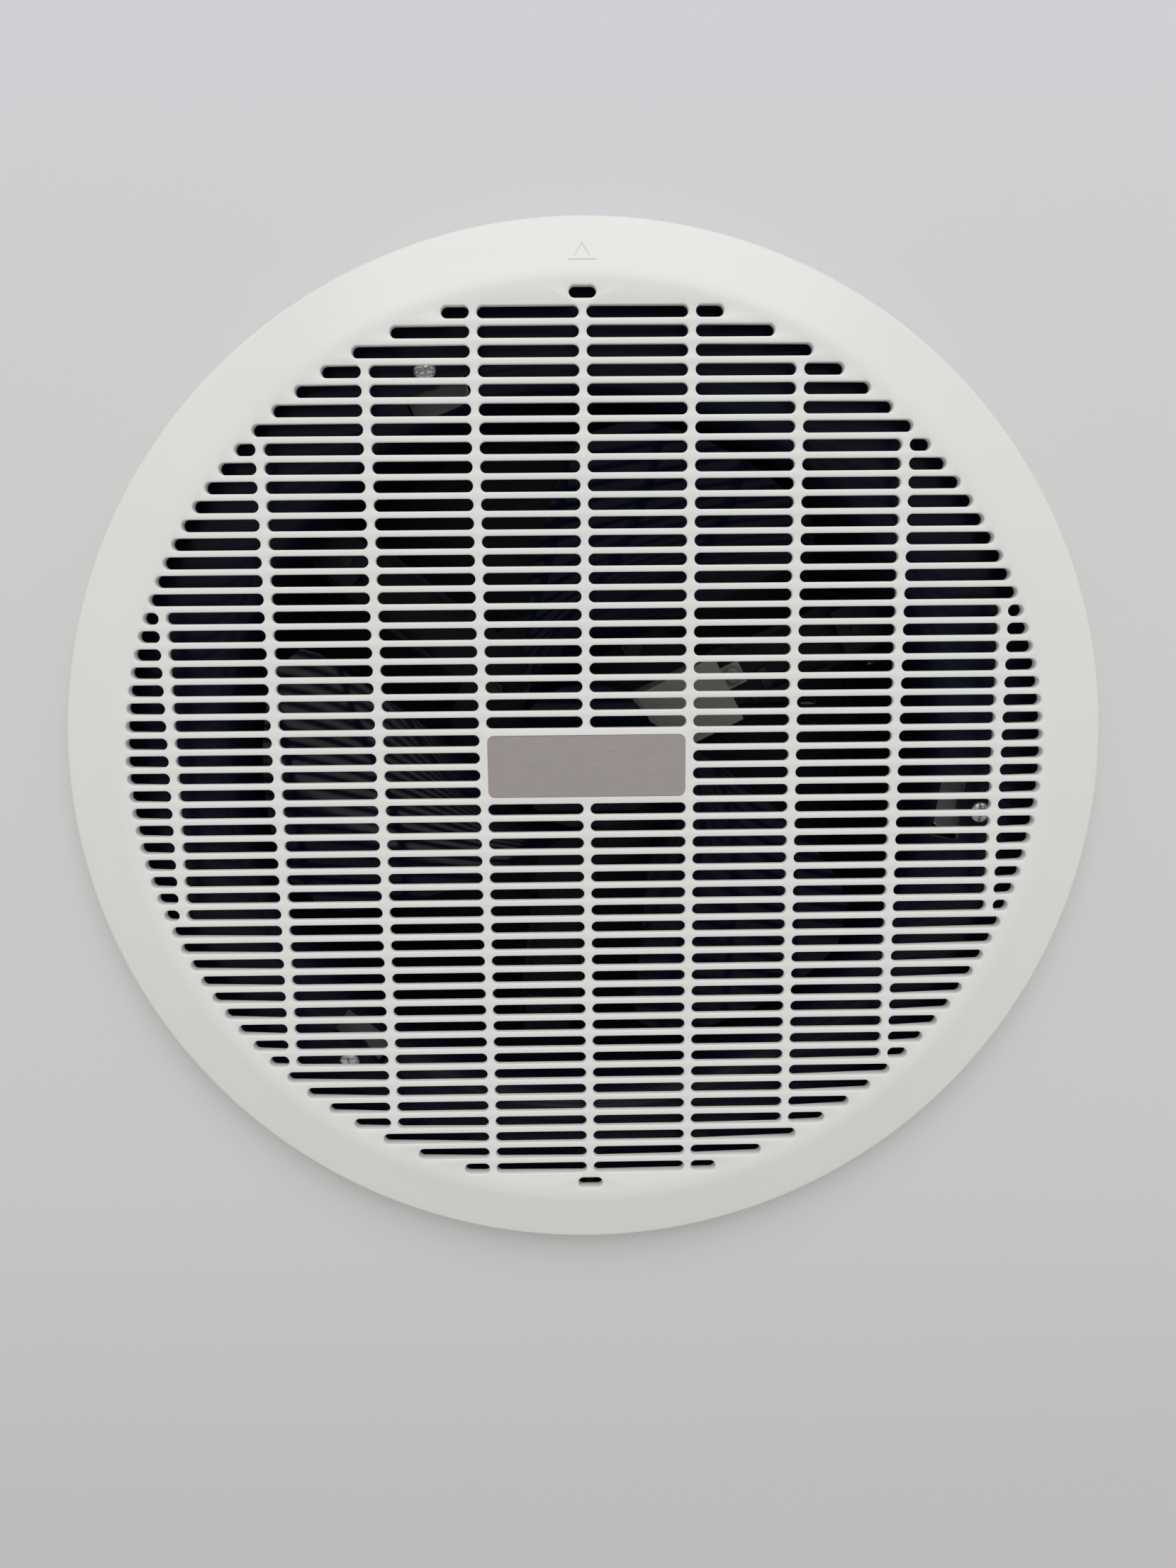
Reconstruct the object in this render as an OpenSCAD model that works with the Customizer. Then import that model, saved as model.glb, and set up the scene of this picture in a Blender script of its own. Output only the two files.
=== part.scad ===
// Round ceiling exhaust fan.
// Z points up into the roof space. The origin is the centre of the flange's top face,
// which bears on the ceiling, so the grille hangs below zero and the drum stands above it.

/* [Fascia grille] */
// Outside diameter of the round fascia
fascia_d = 354; // [350:1:362]
// Distance from the ceiling to the front of the grille
fascia_depth = 16; // [15:0.5:20]
// Thickness of the grille plate and its rim
fascia_t = 2; // [1.6:0.1:2.4]
// Angle at which the plain border slopes back to the ceiling
border_tilt = 15; // [12:0.5:16]
// Radius of the bend between the slotted field and that slope
border_bend = 20; // [8:0.5:26]
// Rounding of the outer edge
edge_round = 1.5; // [0.8:0.1:1.8]
// Gap between the rim and the ceiling
rim_gap = 0.6; // [0.4:0.1:1.5]
// Extra thickness of the fascia behind its border
border_thick = 2.2; // [1:0.1:2.4]
// Width of the slope that leads up to it
border_slope = 13; // [8:1:16]
// Width of the plain border round the field of slots
field_edge = 21.3; // [21:0.1:23]
// Distance from one row of slots to the next
row_pitch = 6; // [5.9:0.02:6.02]
// Height of a slot
slot_h = 4; // [3:0.1:4.4]
// Distance from one upright bar to the next
col_pitch = 35; // [34:0.25:36]
// Width of an upright bar
bar_w = 2.4; // [1.8:0.1:3]
// Shortest end slot; a shorter one is joined to its neighbour
min_slot = 5; // [4.5:0.5:7]
// Depth of the ribs behind the upright bars
rib_depth = 2.5; // [1:0.25:3.5]
// Thickness of those ribs
rib_t = 1.8; // [1.2:0.1:2.4]
// Length of the two release slots
release_w = 8.8; // [7:0.2:11]
// Number of posts that seat the grille under the flange
seat_count = 6; // [3:1:9]
// Diameter of a seat post
seat_d = 6; // [4:0.5:8]
// Thickness of the ring that centres the grille on the flange
centring_t = 1.5; // [1:0.1:2]

/* [Nameplate] */
// Width of the bare plate in the centre
plate_w = 66.8; // [60:0.2:67]
// Height of the plate
plate_h = 21; // [16:0.5:23]
// Thickness of the plate
plate_t = 0.45; // [0.3:0.05:0.8]
// Corner radius of the plate
plate_corner = 2.2; // [1:0.2:4]

/* [Grille clips] */
// Thickness of the sprung tongue
tongue_t = 1.8; // [1:0.1:2]
// Length of the tongue along the radius
tongue_l = 8; // [6.5:0.5:9]
// Distance of the tongue outwards from its release slot
clip_gap = 2.8; // [0.3:0.1:4]
// Radius of the bead on the tongue
bead_r = 1.1; // [1:0.05:1.4]
// Thickness of each jaw under the flange
jaw_t = 1.6; // [1.2:0.1:2.2]

/* [Bell mouth] */
// Distance that the fascia reaches past the flange
flange_in = 8; // [6:0.5:10]
// Width of the flange outside the register ring
flange_w = 17.5; // [17:0.25:18.5]
// Thickness of the flange
flange_t = 2.5; // [2:0.25:3]
// Radius of the rounded inlet
mouth_r = 16; // [14:0.5:17]
// Wall of the collar that takes the drum
collar_t = 2.2; // [1.6:0.1:2.4]
// Height of the collar
collar_h = 10.5; // [8:0.5:12]
// Wall of the ring that registers in the ceiling hole
register_t = 2; // [1.5:0.25:2.5]
// Height of the register ring
register_h = 6; // [4:0.5:8]

/* [Ceiling clamps] */
// Distance of the clamp screws inwards from the register ring
clamp_in = 10.5; // [9.5:0.25:11]
// Distance of the clamp screws outwards from the collar
clamp_gap = 14.75; // [14.5:0.25:16]
// Angle of the first clamp
clamp_az = 8.3; // [5:0.1:12]
// Diameter of a clamp screw
clamp_d = 4; // [3.5:0.1:4.5]
// Diameter of its head
clamp_head_d = 8; // [7:0.25:8.5]
// Height of its head
clamp_head_h = 2.6; // [2:0.1:3]
// Diameter of the boss round a clamp screw
clamp_boss_d = 11; // [9.5:0.5:11.5]
// Height of that boss above the ceiling plane
clamp_boss_h = 8; // [6:0.5:10]
// Thickness of the ceiling board at rest
board_t = 13; // [12:0.5:16]
// Lift of a dog above its rest, for thicker boards
dog_travel = 15; // [5:1:25]
// Width of the dog's heel
dog_w = 20.5; // [16:0.5:21]
// Width of the arm that grips the board
dog_arm_w = 16; // [12:0.5:17]
// Reach of the heel inwards from the screw
dog_in = 13; // [11:0.2:13]
// Reach of the arm outwards from the screw
dog_out = 25; // [20:0.5:25.5]
// Height of the dog
dog_h = 9; // [6:0.5:12]
// Corner taken off the heel
dog_chamfer = 4.5; // [3:0.5:6]
// Width across the flats of a clamp nut
clamp_nut_af = 7; // [6.5:0.25:8]
// Height of a clamp nut
clamp_nut_h = 3.2; // [2.4:0.2:4]
// Thickness of the rib that stops the dog
stop_t = 2; // [1.5:0.25:3]

/* [Drum] */
// Wall of the drum
drum_t = 2.5; // [2:0.1:2.5]
// Room in the drum above the motor's bolt heads
drum_over = 2.2; // [2.2:0.2:14]
// Diameter of the small screws that hold the drum and the damper
small_d = 3; // [2.5:0.25:3.5]
// Inward reach of the three ledges that carry the motor bracket
ledge_reach = 16.5; // [14:0.5:18]
// Width of a ledge
ledge_w = 18; // [14:1:22]
// Thickness of a ledge
ledge_t = 6; // [4:0.5:8]

/* [Motor bracket] */
// Room between the impeller and the capacitor under the bracket
cap_clear = 3; // [2.4:0.2:5]
// Thickness of the bracket
bracket_t = 2; // [1.5:0.25:2.5]
// Angle of the first arm
arm_az = -22; // [-25:0.5:-18]
// Width of an arm
arm_w = 24; // [20:1:28]
// Distance of the arm's fixing hole from the drum
fixing_in = 9.5; // [9:0.5:11.5]
// Height of the stiffening lips
lip_h = 6; // [3:0.5:8]
// Border of the bracket's round plate outside the motor
plate_edge = 7; // [4:0.5:8]
// Diameter of a rubber mount
rubber_d = 14; // [12:0.5:15]
// Height of a rubber mount
rubber_h = 8; // [6:0.5:8.5]
// Diameter of a bracket screw
fix_d = 4; // [3.5:0.25:4.5]

/* [Motor] */
// Outside diameter of the motor covers
motor_d = 90; // [86:1:92]
// Depth of each cover
cover_h = 16; // [15:0.5:17]
// Wall of the covers
cover_t = 2; // [1.5:0.25:2.25]
// Outside diameter of the bearing noses
nose_d = 28; // [26:0.5:29]
// Depth of the front nose below the bracket's top
nose_h = 10; // [9:0.5:12]
// Height of the stator stack
stack_h = 22; // [18:1:24]
// Step from the covers' edge in to the stator stack
stack_in = 1; // [0.5:0.25:1.5]
// Inside diameter of the stator stack
stack_bore = 46; // [44:0.5:48]
// Air gap between rotor and stator
air_gap = 0.4; // [0.3:0.05:0.6]
// Number of stator slots
stator_slots = 12; // [8:4:16]
// Length of the winding beyond the stack
winding_h = 11; // [8:0.5:12]
// Diameter of the shaft
shaft_d = 8; // [7:0.5:9]
// Outside diameter of a bearing
bearing_d = 20; // [16:0.5:20]
// Length of a bearing
bearing_l = 8.5; // [7:0.5:9]
// Radial running clearance of the shaft
run_gap = 0.03; // [0.02:0.01:0.08]
// Distance of the motor bolts from the covers' edge
bolt_in = 5.5; // [5:0.1:6]
// Diameter of a motor bolt
bolt_d = 4; // [3:0.25:4.25]
// Angle of the first motor bolt
bolt_az = 28; // [24:1:34]

/* [Impeller] */
// Number of blades
blades = 3; // [3:1:5]
// Clearance between the blade tips and the throat
tip_gap = 4.5; // [3.5:0.5:9]
// Radius of the hub
hub_r = 26; // [25:0.5:28]
// Height of the hub
hub_h = 31; // [29:0.5:31]
// Wall of the hub
hub_t = 3; // [2.5:0.25:3.5]
// Height of the hub's front face above the ceiling plane
hub_z = 3; // [2:0.5:4]
// Angle of the first blade
blade_az = 0; // [0:1:359]
// Rise of a blade from its leading to its trailing edge, per degree of turn
blade_rise = 0.48; // [0.3:0.02:0.48]
// Sideways offset of the leading edge from the centre at the hub
lead_offset = 22.3; // [20:0.5:24]
// Forward curl of the leading edge at the tip
lead_curl = 25; // [15:1:30]
// Distance of the trailing edge's line from the centre
trail_offset = 28.8; // [28.2:0.2:30]
// Angle of the foot of that line
trail_az = -114; // [-118:1:-110]
// Rounding of the blade's outer corners
tip_corner = 14; // [8:1:18]
// Thickness of a blade at the root
root_t = 3; // [2.4:0.1:3.4]
// Thickness of a blade at the tip
tip_t = 1.8; // [1.4:0.1:2.4]
// Hollow of the blade's curve
camber = 3; // [1:0.5:4]

/* [Capacitor] */
// Length of the capacitor's case
cap_l = 36; // [32:0.5:37]
// Width of the case
cap_w = 26.3; // [22:0.5:27]
// Height of the case
cap_h = 16; // [12:0.5:16]
// Place of the case's centre along X
cap_x = 38.6; // [38:0.2:40]
// Place of the case's centre along Y
cap_y = -12.3; // [-13:0.1:-11]
// Angle of the case
cap_az = -26; // [-28:1:-24]
// Length of the mounting ear
ear_l = 8.5; // [8:0.25:10]

/* [Terminal box] */
// Width of the terminal box
box_w = 54; // [48:1:56]
// Height of the terminal box
box_h = 56; // [52:1:58]
// Depth of the terminal box from the drum to its cover
box_depth = 22.2; // [21.2:0.1:22.6]
// Height of the motor lead above the box's lower wall
box_drop = 30.5; // [29.5:0.5:32]
// Wall of the terminal box
box_t = 2; // [1.6:0.1:2.4]
// Thickness of its cover
lid_t = 2.4; // [2:0.2:2.8]
// Diameter of the motor lead
lead_d = 6.4; // [5:0.2:6.8]
// Climb of the motor lead from the arm to the drum wall
lead_rise = 8; // [7.8:0.1:9.5]
// Diameter of the cable gland's thread
gland_d = 16; // [14:0.5:16]
// Bore of the cable gland
gland_bore = 8.4; // [6:0.2:9]

/* [Damper] */
// Length of the duct spigot above its shoulder
spigot_h = 20; // [16:1:40]
// Wall of the spigot
spigot_t = 3.1; // [3.1:0.1:3.5]
// Height of the skirt that fits over the drum
skirt_h = 8; // [6:0.5:9]
// Wall of the skirt
skirt_t = 2.2; // [1.6:0.1:2.3]
// Width of the ledge that the flaps rest on
rest_w = 5.5; // [3:0.5:7]
// Thickness of that ledge and of the crossbar
rest_t = 2.6; // [1.6:0.2:2.6]
// Width of the crossbar
cross_w = 8; // [7:0.5:9]
// Diameter of the hinge pin
pin_d = 2.5; // [2:0.25:3]
// Diameter of the flap knuckles
knuckle_d = 6; // [5.5:0.25:6.5]
// Length of a knuckle
knuckle_l = 16; // [10:1:20]
// Thickness of a flap
flap_t = 1.2; // [0.8:0.1:1.6]
// Gap between a flap's edge and the spigot
flap_gap = 3.2; // [2:0.2:4]

/* [Hidden] */
$fn = 96;

// Small helper values
eps = 0.01;
free_gap = 0.3;
slip = 0.05;
screw_slip = 0.15;
over = 20;

// Radii, from the fascia's edge inwards
fascia_r = fascia_d / 2;
field_r = fascia_r - field_edge;
flange_r = fascia_r - flange_in;
register_r = flange_r - flange_w;
clamp_r = register_r - clamp_in;
collar_or = clamp_r - clamp_gap;
collar_ir = collar_or - collar_t;
drum_r = collar_ir - slip;
throat_r = drum_r - drum_t;
tip_r = throat_r - tip_gap;

// Fascia
face_z = -fascia_depth;
latch_r = field_r - 2.7;
half_rows = floor(latch_r / row_pitch - 0.5 + eps);
plate_rows = 2;
release_h = slot_h + 0.2;
tongue_y = latch_r + release_h / 2 + clip_gap;
clip_r = tongue_y + tongue_l / 2;
clip_foot_w = 7;
clip_foot_t = 0.8;
clip_foot_in = 2;
bead_drop = 3.2;
ring_ir = flange_r + 0.4;
ring_or = ring_ir + centring_t;
recess_gap = 0.2;
recess_depth = plate_t + 0.05;
back_z = face_z + fascia_t;
border_z = back_z + border_thick;
slope_r = field_r - border_slope;
bend_r = field_r + border_bend * sin(border_tilt);
bend_z = face_z + border_bend * (1 - cos(border_tilt));
wall_r = fascia_r - fascia_t;
wall_z = rim_z(wall_r) + fascia_t / cos(border_tilt);
pad_edge = 0.5;
pad_z = border_back_z(tongue_y + tongue_l) + 0.2;
seat_r = (field_r + flange_r) / 2;

// Bell mouth
flange_z = -flange_t;
mouth_cr = throat_r + mouth_r;
mouth_cz = flange_z + mouth_r;
collar_top = mouth_cz + collar_h;
back_arc_r = mouth_r - flange_t;
back_arc_a = acos((mouth_cr - collar_or) / back_arc_r);
window_w = dog_w + 1.2;
notch_w = dog_w - 0.5;
notch_r = clamp_r - norm([dog_in, dog_w / 2]) - 0.25;
notch_drop = 0.5;
rib_x = collar_ir + 1 - clamp_r;
rib_l = 5.2;
rib_foot = mouth_cz - back_arc_r + 4;
window_out = clamp_r - clamp_boss_d / 2 - 0.5;
jaw_gap = bead_r + 0.12;
jaw_l = 5;
jaw_tip_z = pad_z + clip_foot_t + 0.6;

// Clamps
clamp_count = 3;
dog_z = board_t;
nut_z = dog_z + dog_h + free_gap;
clamp_top = nut_z + clamp_nut_h + dog_travel + 4;
stop_y = -dog_w / 2 - 0.25;
stop_top = dog_z + dog_travel + dog_h;

// Bracket and ledges
joint_az = clamp_az + 60;
hub_top = hub_z + hub_h;
bracket_z = hub_top + cap_clear + cap_h;
bracket_top = bracket_z + bracket_t;
motor_r = motor_d / 2;
hub_plate_r = motor_r + plate_edge;
fixing_r = throat_r - fixing_in;
arm_count = 3;
arm_end = throat_r - 2.5;
arm_corner = 5;
rubber_z = bracket_z - (rubber_h - bracket_t) / 2;
ledge_top = rubber_z;
spacer_d = fix_d + 2;
washer_t = 1;
fix_head_h = 2.4;
lip_r0 = hub_plate_r + 14;
lip_r1 = fixing_r - 14;

// Motor
stack_r = motor_r - stack_in;
bolt_r = motor_r - bolt_in;
vent_l = 10;
vent_w = 3;
vent_in = nose_d / 2 + 8;
front_z = bracket_top;
stack_z = front_z + cover_h;
stack_top = stack_z + stack_h;
rear_top = stack_top + cover_h;
nose_z = front_z - nose_h;
nose_floor = 1.5;
rear_nose_top = rear_top + 2;
bearing_seat = slip;
front_bearing_z = nose_z + nose_floor;
rear_bearing_z = rear_nose_top - nose_floor - bearing_l;
rotor_r = stack_bore / 2 - air_gap;
bolt_head_h = 2.8;
bolt_nut_h = 3.2;
bolt_nut_af = bolt_d * 1.75;
bolt_count = 4;
slot_in = stack_bore / 2 + 2.4;
slot_out = stack_r - 10;
slot_half = 180 / stator_slots * 0.55;
winding_in = slot_in + 0.3;
winding_out = slot_out - 0.3;

// Drum
drum_z = mouth_cz;
drum_top = rear_top + bolt_head_h + drum_over;
drum_h = drum_top - drum_z;
collar_screw_z = drum_z + collar_h / 2;

// Impeller and shaft front
thread_d = shaft_d - 2;
web_t = 3;
shoulder_z = hub_z + web_t;
boss_r = shaft_d / 2 + 5;
pin_r = 1.5;
drive_z = hub_top - 2 - pin_r;
drive_l = 2 * boss_r;
washer_z = hub_z - 1.2;
wheel_nut_h = 5;
wheel_nut_af = thread_d + 4;
shaft_front = washer_z - wheel_nut_h - 0.5;
shaft_top = rear_nose_top - nose_floor - 0.5;
blade_z = hub_z + 2;
root_r = hub_r - 1.5;
radial_steps = 9;
chord_steps = 8;

// Capacitor
cap_z = bracket_z - cap_h;
ear_t = 2;
ear_w = 9;
ear_y = -1.6;
ear_hole_x = cap_l / 2 + ear_l - 4.2;
cap_screw_d = 3.5;
cap_lead_d = 1.8;

// Motor lead and terminal box, in a frame turned to the first arm
lead_y = 6;
lead_run_z = bracket_top + lead_d / 2 + 0.3;
lead_z = lead_run_z + lead_rise;
lead_hole_r = lead_d / 2 + 2;
tie_t = 1;
tie_w = 3.6;
tie_x = [lip_r0 + 8, lip_r1 - 12];
climb_x = tie_x[1] + 2;
box_z = lead_z - box_drop;
box_top = box_z + box_h;
box_back = drum_r + free_gap;
box_r = box_back + box_depth;
box_screw_y = box_w / 2 - box_t - small_d - 0.5;
box_screw_z = [box_z + 8, box_top - 8];
gland_x = box_r - gland_d / 2 - 2.2;
gland_y = box_t + gland_d / 2 + 2 - box_w / 2;
block_w = box_w - 22;
block_h = 14;
block_z = box_z + 8;
block_x = box_back + box_t + 1.5;
block_l = 11;
core_d = 1.8;
cover_screw_z = [box_z + 4.5, box_top - 4.5];
cover_screw_bite = 9;
lid_gap = 0.1;

// Damper
spigot_r = throat_r + spigot_t;
hinge_z = drum_top + rest_t + 0.4 + knuckle_d / 2;
flap_z = drum_top + rest_t + 0.5;
flap_r = throat_r - flap_gap;
flap_edge = knuckle_d / 2 + 0.5;
lug_t = 5;
lug_r = throat_r - 21.5;
lug_x = [-lug_r, 0, lug_r];
knuckle_x = [20 - lug_r, 30];
lug_top = hinge_z + pin_d / 2 + 1.6;
notch_y = norm([cross_w / 2, lug_top - hinge_z]) + 0.6;
pin_l = 2 * (lug_x[2] + lug_t / 2 + 1);

// Puts children at a radius and an angle, with X pointing outwards
module polar(r, az) {
    rotate([0, 0, az]) translate([r, 0, 0]) children();
}

// A flat ring
module ring(ro, ri, h) {
    difference() {
        cylinder(r = ro, h = h);
        translate([0, 0, -over]) cylinder(r = ri, h = h + 2 * over);
    }
}

// A hexagonal nut with its lower face at zero
module hex_nut(af, h, bore) {
    difference() {
        cylinder(r = af / sqrt(3), h = h, $fn = 6);
        translate([0, 0, -eps]) cylinder(r = bore, h = h + 2 * eps);
    }
}

// A domed cross-head, its flat side at zero and its crown towards minus Z
module pan_head(d, h) {
    slot = d * 0.11;
    difference() {
        rotate_extrude() polygon(concat(
            [[0, 0], [d / 2, 0], [d / 2, -h * 0.35]],
            [for (a = [15:15:90]) [d / 2 * cos(a), -h * 0.35 - h * 0.65 * sin(a)]]
        ));
        for (a = [0, 90]) rotate([0, 0, a])
            translate([-d * 0.29, -slot / 2, -h - eps]) cube([d * 0.58, slot, h * 0.6]);
    }
}

// A screw with its head below zero and its shank above
module screw(d, l, head_d, head_h) {
    pan_head(head_d, head_h);
    translate([0, 0, -eps]) cylinder(r = d / 2, h = l + eps);
}

// A rounded rectangle lying flat
module rounded_rect(w, h, r) {
    square([w - 2 * r, h], center = true);
    square([w, h - 2 * r], center = true);
    for (x = [-1, 1], y = [-1, 1]) translate([x * (w / 2 - r), y * (h / 2 - r)]) circle(r = r);
}

// A round tube swept along points, with flat ends
function unit(v) = v / norm(v);
function tangent(p, i) = unit(p[min(i + 1, len(p) - 1)] - p[max(i - 1, 0)]);
function side(p, i, up) = unit(cross(up, tangent(p, i)));
module swept(p, r, sides, up) {
    n = len(p);
    pts = [for (i = [0:n - 1], k = [0:sides - 1])
        p[i] + r * cos(360 * k / sides) * side(p, i, up)
            + r * sin(360 * k / sides) * cross(tangent(p, i), side(p, i, up))];
    wall = [for (i = [0:n - 2], k = [0:sides - 1])
        let (a = i * sides + k, b = i * sides + (k + 1) % sides)
        each [[a, b + sides, b], [a, a + sides, b + sides]]];
    ends = [for (k = [1:sides - 2])
        each [[0, k, k + 1], [(n - 1) * sides, (n - 1) * sides + k + 1, (n - 1) * sides + k]]];
    polyhedron(points = pts, faces = concat(wall, ends));
}

// Slots of the grille

function row_y(i) = (i + 0.5) * row_pitch;
function row_end(y) = sqrt(pow(field_r, 2) - pow(y + slot_h / 2, 2));
function last_bar(y) = floor((row_end(y) - bar_w / 2 - min_slot) / col_pitch);
function bar_reach(k) = max([for (i = [0:half_rows - 1]) if (last_bar(row_y(i)) >= k) row_y(i)]);

module slot(x0, x1, h) {
    translate([x0 + h / 2, -h / 2]) square([x1 - x0 - h, h]);
    for (x = [x0 + h / 2, x1 - h / 2]) translate([x, 0]) circle(r = h / 2, $fn = 24);
}

module row_of_slots(y, first) {
    last = last_bar(y);
    for (k = [first:last]) {
        x1 = k == last ? row_end(y) : (k + 1) * col_pitch - bar_w / 2;
        slot(k * col_pitch + bar_w / 2, x1, slot_h);
    }
}

module all_slots() {
    for (i = [0:half_rows - 1], sy = [-1, 1], sx = [0, 1])
        translate([0, sy * row_y(i)]) mirror([sx, 0])
            row_of_slots(row_y(i), i < plate_rows ? 1 : 0);
    for (sy = [-1, 1]) translate([0, sy * latch_r]) slot(-release_w / 2, release_w / 2, release_h);
}

// Section of the fascia: a flat plate, a border that slopes back and a wall round the edge
function rim_z(r) = bend_z + (r - bend_r) * tan(border_tilt);
function border_back_z(r) = border_z + (r - field_r) * (wall_z - border_z) / (wall_r - field_r);
module fascia_section() {
    edge_r = fascia_r - edge_round;
    edge_z = rim_z(edge_r) + edge_round / cos(border_tilt);
    polygon(concat(
        [[0, face_z]],
        [for (i = [0:4]) let (t = border_tilt * i / 4)
            [field_r + border_bend * sin(t), face_z + border_bend * (1 - cos(t))]],
        [for (i = [0:6]) let (t = (border_tilt - 90) * (1 - i / 6))
            [edge_r + edge_round * cos(t), edge_z + edge_round * sin(t)]],
        [[fascia_r, -rim_gap], [wall_r, -rim_gap], [wall_r, wall_z],
            [field_r, border_z], [slope_r, back_z], [0, back_z]]
    ));
}

// A block on the sloping border, with a flat top at the given height
module border_block(r_out, top_z) {
    low_z = rim_z(r_out) + fascia_t / 2;
    translate([0, 0, low_z]) linear_extrude(top_z - low_z) children();
}

module grille() {
    color("white") {
        difference() {
            rotate_extrude() fascia_section();
            translate([0, 0, face_z - 1]) linear_extrude(fascia_t + border_thick + 2) all_slots();
            translate([0, 0, face_z - eps]) linear_extrude(recess_depth + eps)
                rounded_rect(plate_w + 2 * recess_gap, plate_h + 2 * recess_gap, plate_corner);
        }
        for (k = [0:last_bar(row_y(0))], s = [-1, 1]) if (k > 0 || s > 0) {
            reach = bar_reach(k) + slot_h / 2;
            translate([s * k * col_pitch - rib_t / 2, -reach, back_z - eps])
                cube([rib_t, 2 * reach, rib_depth + eps]);
        }
        border_block(ring_or, -1) difference() {
            circle(r = ring_or);
            circle(r = ring_ir);
        }
        for (k = [0:seat_count - 1]) polar(seat_r, k * 360 / seat_count)
            border_block(seat_r + seat_d / 2, flange_z - free_gap) circle(r = seat_d / 2);
        for (a = [0, 180]) rotate([0, 0, a]) border_block(tongue_y + tongue_l + pad_edge, pad_z)
            translate([-clip_foot_w / 2 - pad_edge, tongue_y + clip_foot_in - pad_edge])
                square([clip_foot_w + 2 * pad_edge, tongue_l - clip_foot_in + 2 * pad_edge]);
    }
}

module nameplate() {
    color([0.62, 0.6, 0.6]) translate([0, 0, face_z + recess_depth - plate_t])
        linear_extrude(plate_t) rounded_rect(plate_w, plate_h, plate_corner);
}

// A steel tongue outside each release slot, with a foot on a pad behind the grille's border
module grille_clips() {
    tip_z = flange_z - 0.6;
    color("silver") for (a = [0, 180]) rotate([0, 0, a]) translate([0, tongue_y, 0]) {
        translate([-tongue_t / 2, 0, pad_z]) cube([tongue_t, tongue_l, tip_z - pad_z]);
        translate([-clip_foot_w / 2, clip_foot_in, pad_z])
            cube([clip_foot_w, tongue_l - clip_foot_in, clip_foot_t]);
        translate([0, 0, tip_z - bead_drop]) rotate([-90, 0, 0]) cylinder(r = bead_r, h = tongue_l);
    }
}

// Flange and rounded inlet in one moulding
module mouth_section() {
    polygon(concat(
        [[flange_r, flange_z]],
        [for (a = [90:10:180]) [mouth_cr + mouth_r * cos(a), mouth_cz - mouth_r * sin(a)]],
        [[collar_ir, mouth_cz], [collar_ir, collar_top], [collar_or, collar_top]],
        [for (i = [0:6]) let (a = back_arc_a + (90 - back_arc_a) * i / 6)
            [mouth_cr - back_arc_r * cos(a), mouth_cz - back_arc_r * sin(a)]],
        [[flange_r, 0]]
    ));
}

module jaws() {
    for (s = [-1, 1]) translate([s > 0 ? jaw_gap : -jaw_gap - jaw_t, -jaw_l / 2, jaw_tip_z])
        cube([jaw_t, jaw_l, flange_z - jaw_tip_z + 1]);
}

module bell_mouth() {
    color([0.08, 0.08, 0.1]) difference() {
        union() {
            rotate_extrude() mouth_section();
            translate([0, 0, -1]) ring(register_r, register_r - register_t, register_h + 1);
            for (k = [0:clamp_count - 1]) polar(clamp_r, clamp_az + k * 120) {
                translate([0, 0, flange_z]) cylinder(r = clamp_boss_d / 2, h = clamp_boss_h + flange_t);
                translate([rib_x, stop_y - stop_t, rib_foot]) cube([rib_l, stop_t, stop_top - rib_foot]);
            }
            for (a = [0, 180]) rotate([0, 0, a]) translate([0, clip_r, 0]) jaws();
        }
        for (k = [0:clamp_count - 1]) {
            polar(clamp_r, clamp_az + k * 120) translate([0, 0, flange_z - 1])
                cylinder(r = clamp_d / 2 + screw_slip, h = clamp_boss_h + flange_t + 2);
            rotate([0, 0, clamp_az + k * 120]) {
                translate([collar_or + 0.4, -dog_w / 2, flange_z - 1])
                    cube([window_out - collar_or - 0.4, window_w, mouth_cz - flange_z + 1]);
                translate([drum_r - 2, -notch_w / 2, mouth_cz]) cube([over, notch_w, collar_h + 1]);
                translate([notch_r, -notch_w / 2, dog_z - notch_drop])
                    cube([over, notch_w, mouth_cz - dog_z + notch_drop + eps]);
            }
            rotate([0, 0, joint_az + k * 120]) translate([0, 0, collar_screw_z]) rotate([0, 90, 0])
                cylinder(r = small_d / 2 + slip, h = collar_or + 1);
        }
    }
}

module clamp_screw(k) {
    color("silver") polar(clamp_r, clamp_az + k * 120)
        translate([0, 0, flange_z]) rotate([0, 0, 20 + 35 * k])
        screw(clamp_d, clamp_top - flange_z, clamp_head_d, clamp_head_h);
}

module clamp_nut(k) {
    color("silver") polar(clamp_r, clamp_az + k * 120)
        translate([0, 0, nut_z]) hex_nut(clamp_nut_af, clamp_nut_h, clamp_d / 2 + slip);
}

// The heel shows through the window; the arm grips the top of the ceiling board
module clamp_dog(k) {
    step_x = 5;
    color([0.72, 0.73, 0.74]) polar(clamp_r, clamp_az + k * 120) difference() {
        translate([0, 0, dog_z]) linear_extrude(dog_h) polygon([
            [-dog_in, -dog_w / 2], [step_x - 2, -dog_w / 2], [step_x, -dog_arm_w / 2],
            [dog_out, -dog_arm_w / 2], [dog_out, dog_arm_w / 2], [step_x, dog_arm_w / 2],
            [step_x - 2, dog_w / 2], [-dog_in + dog_chamfer, dog_w / 2],
            [-dog_in, dog_w / 2 - dog_chamfer]
        ]);
        translate([0, 0, dog_z - 1]) cylinder(r = clamp_d / 2 + screw_slip, h = dog_h + 2);
    }
}

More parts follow.
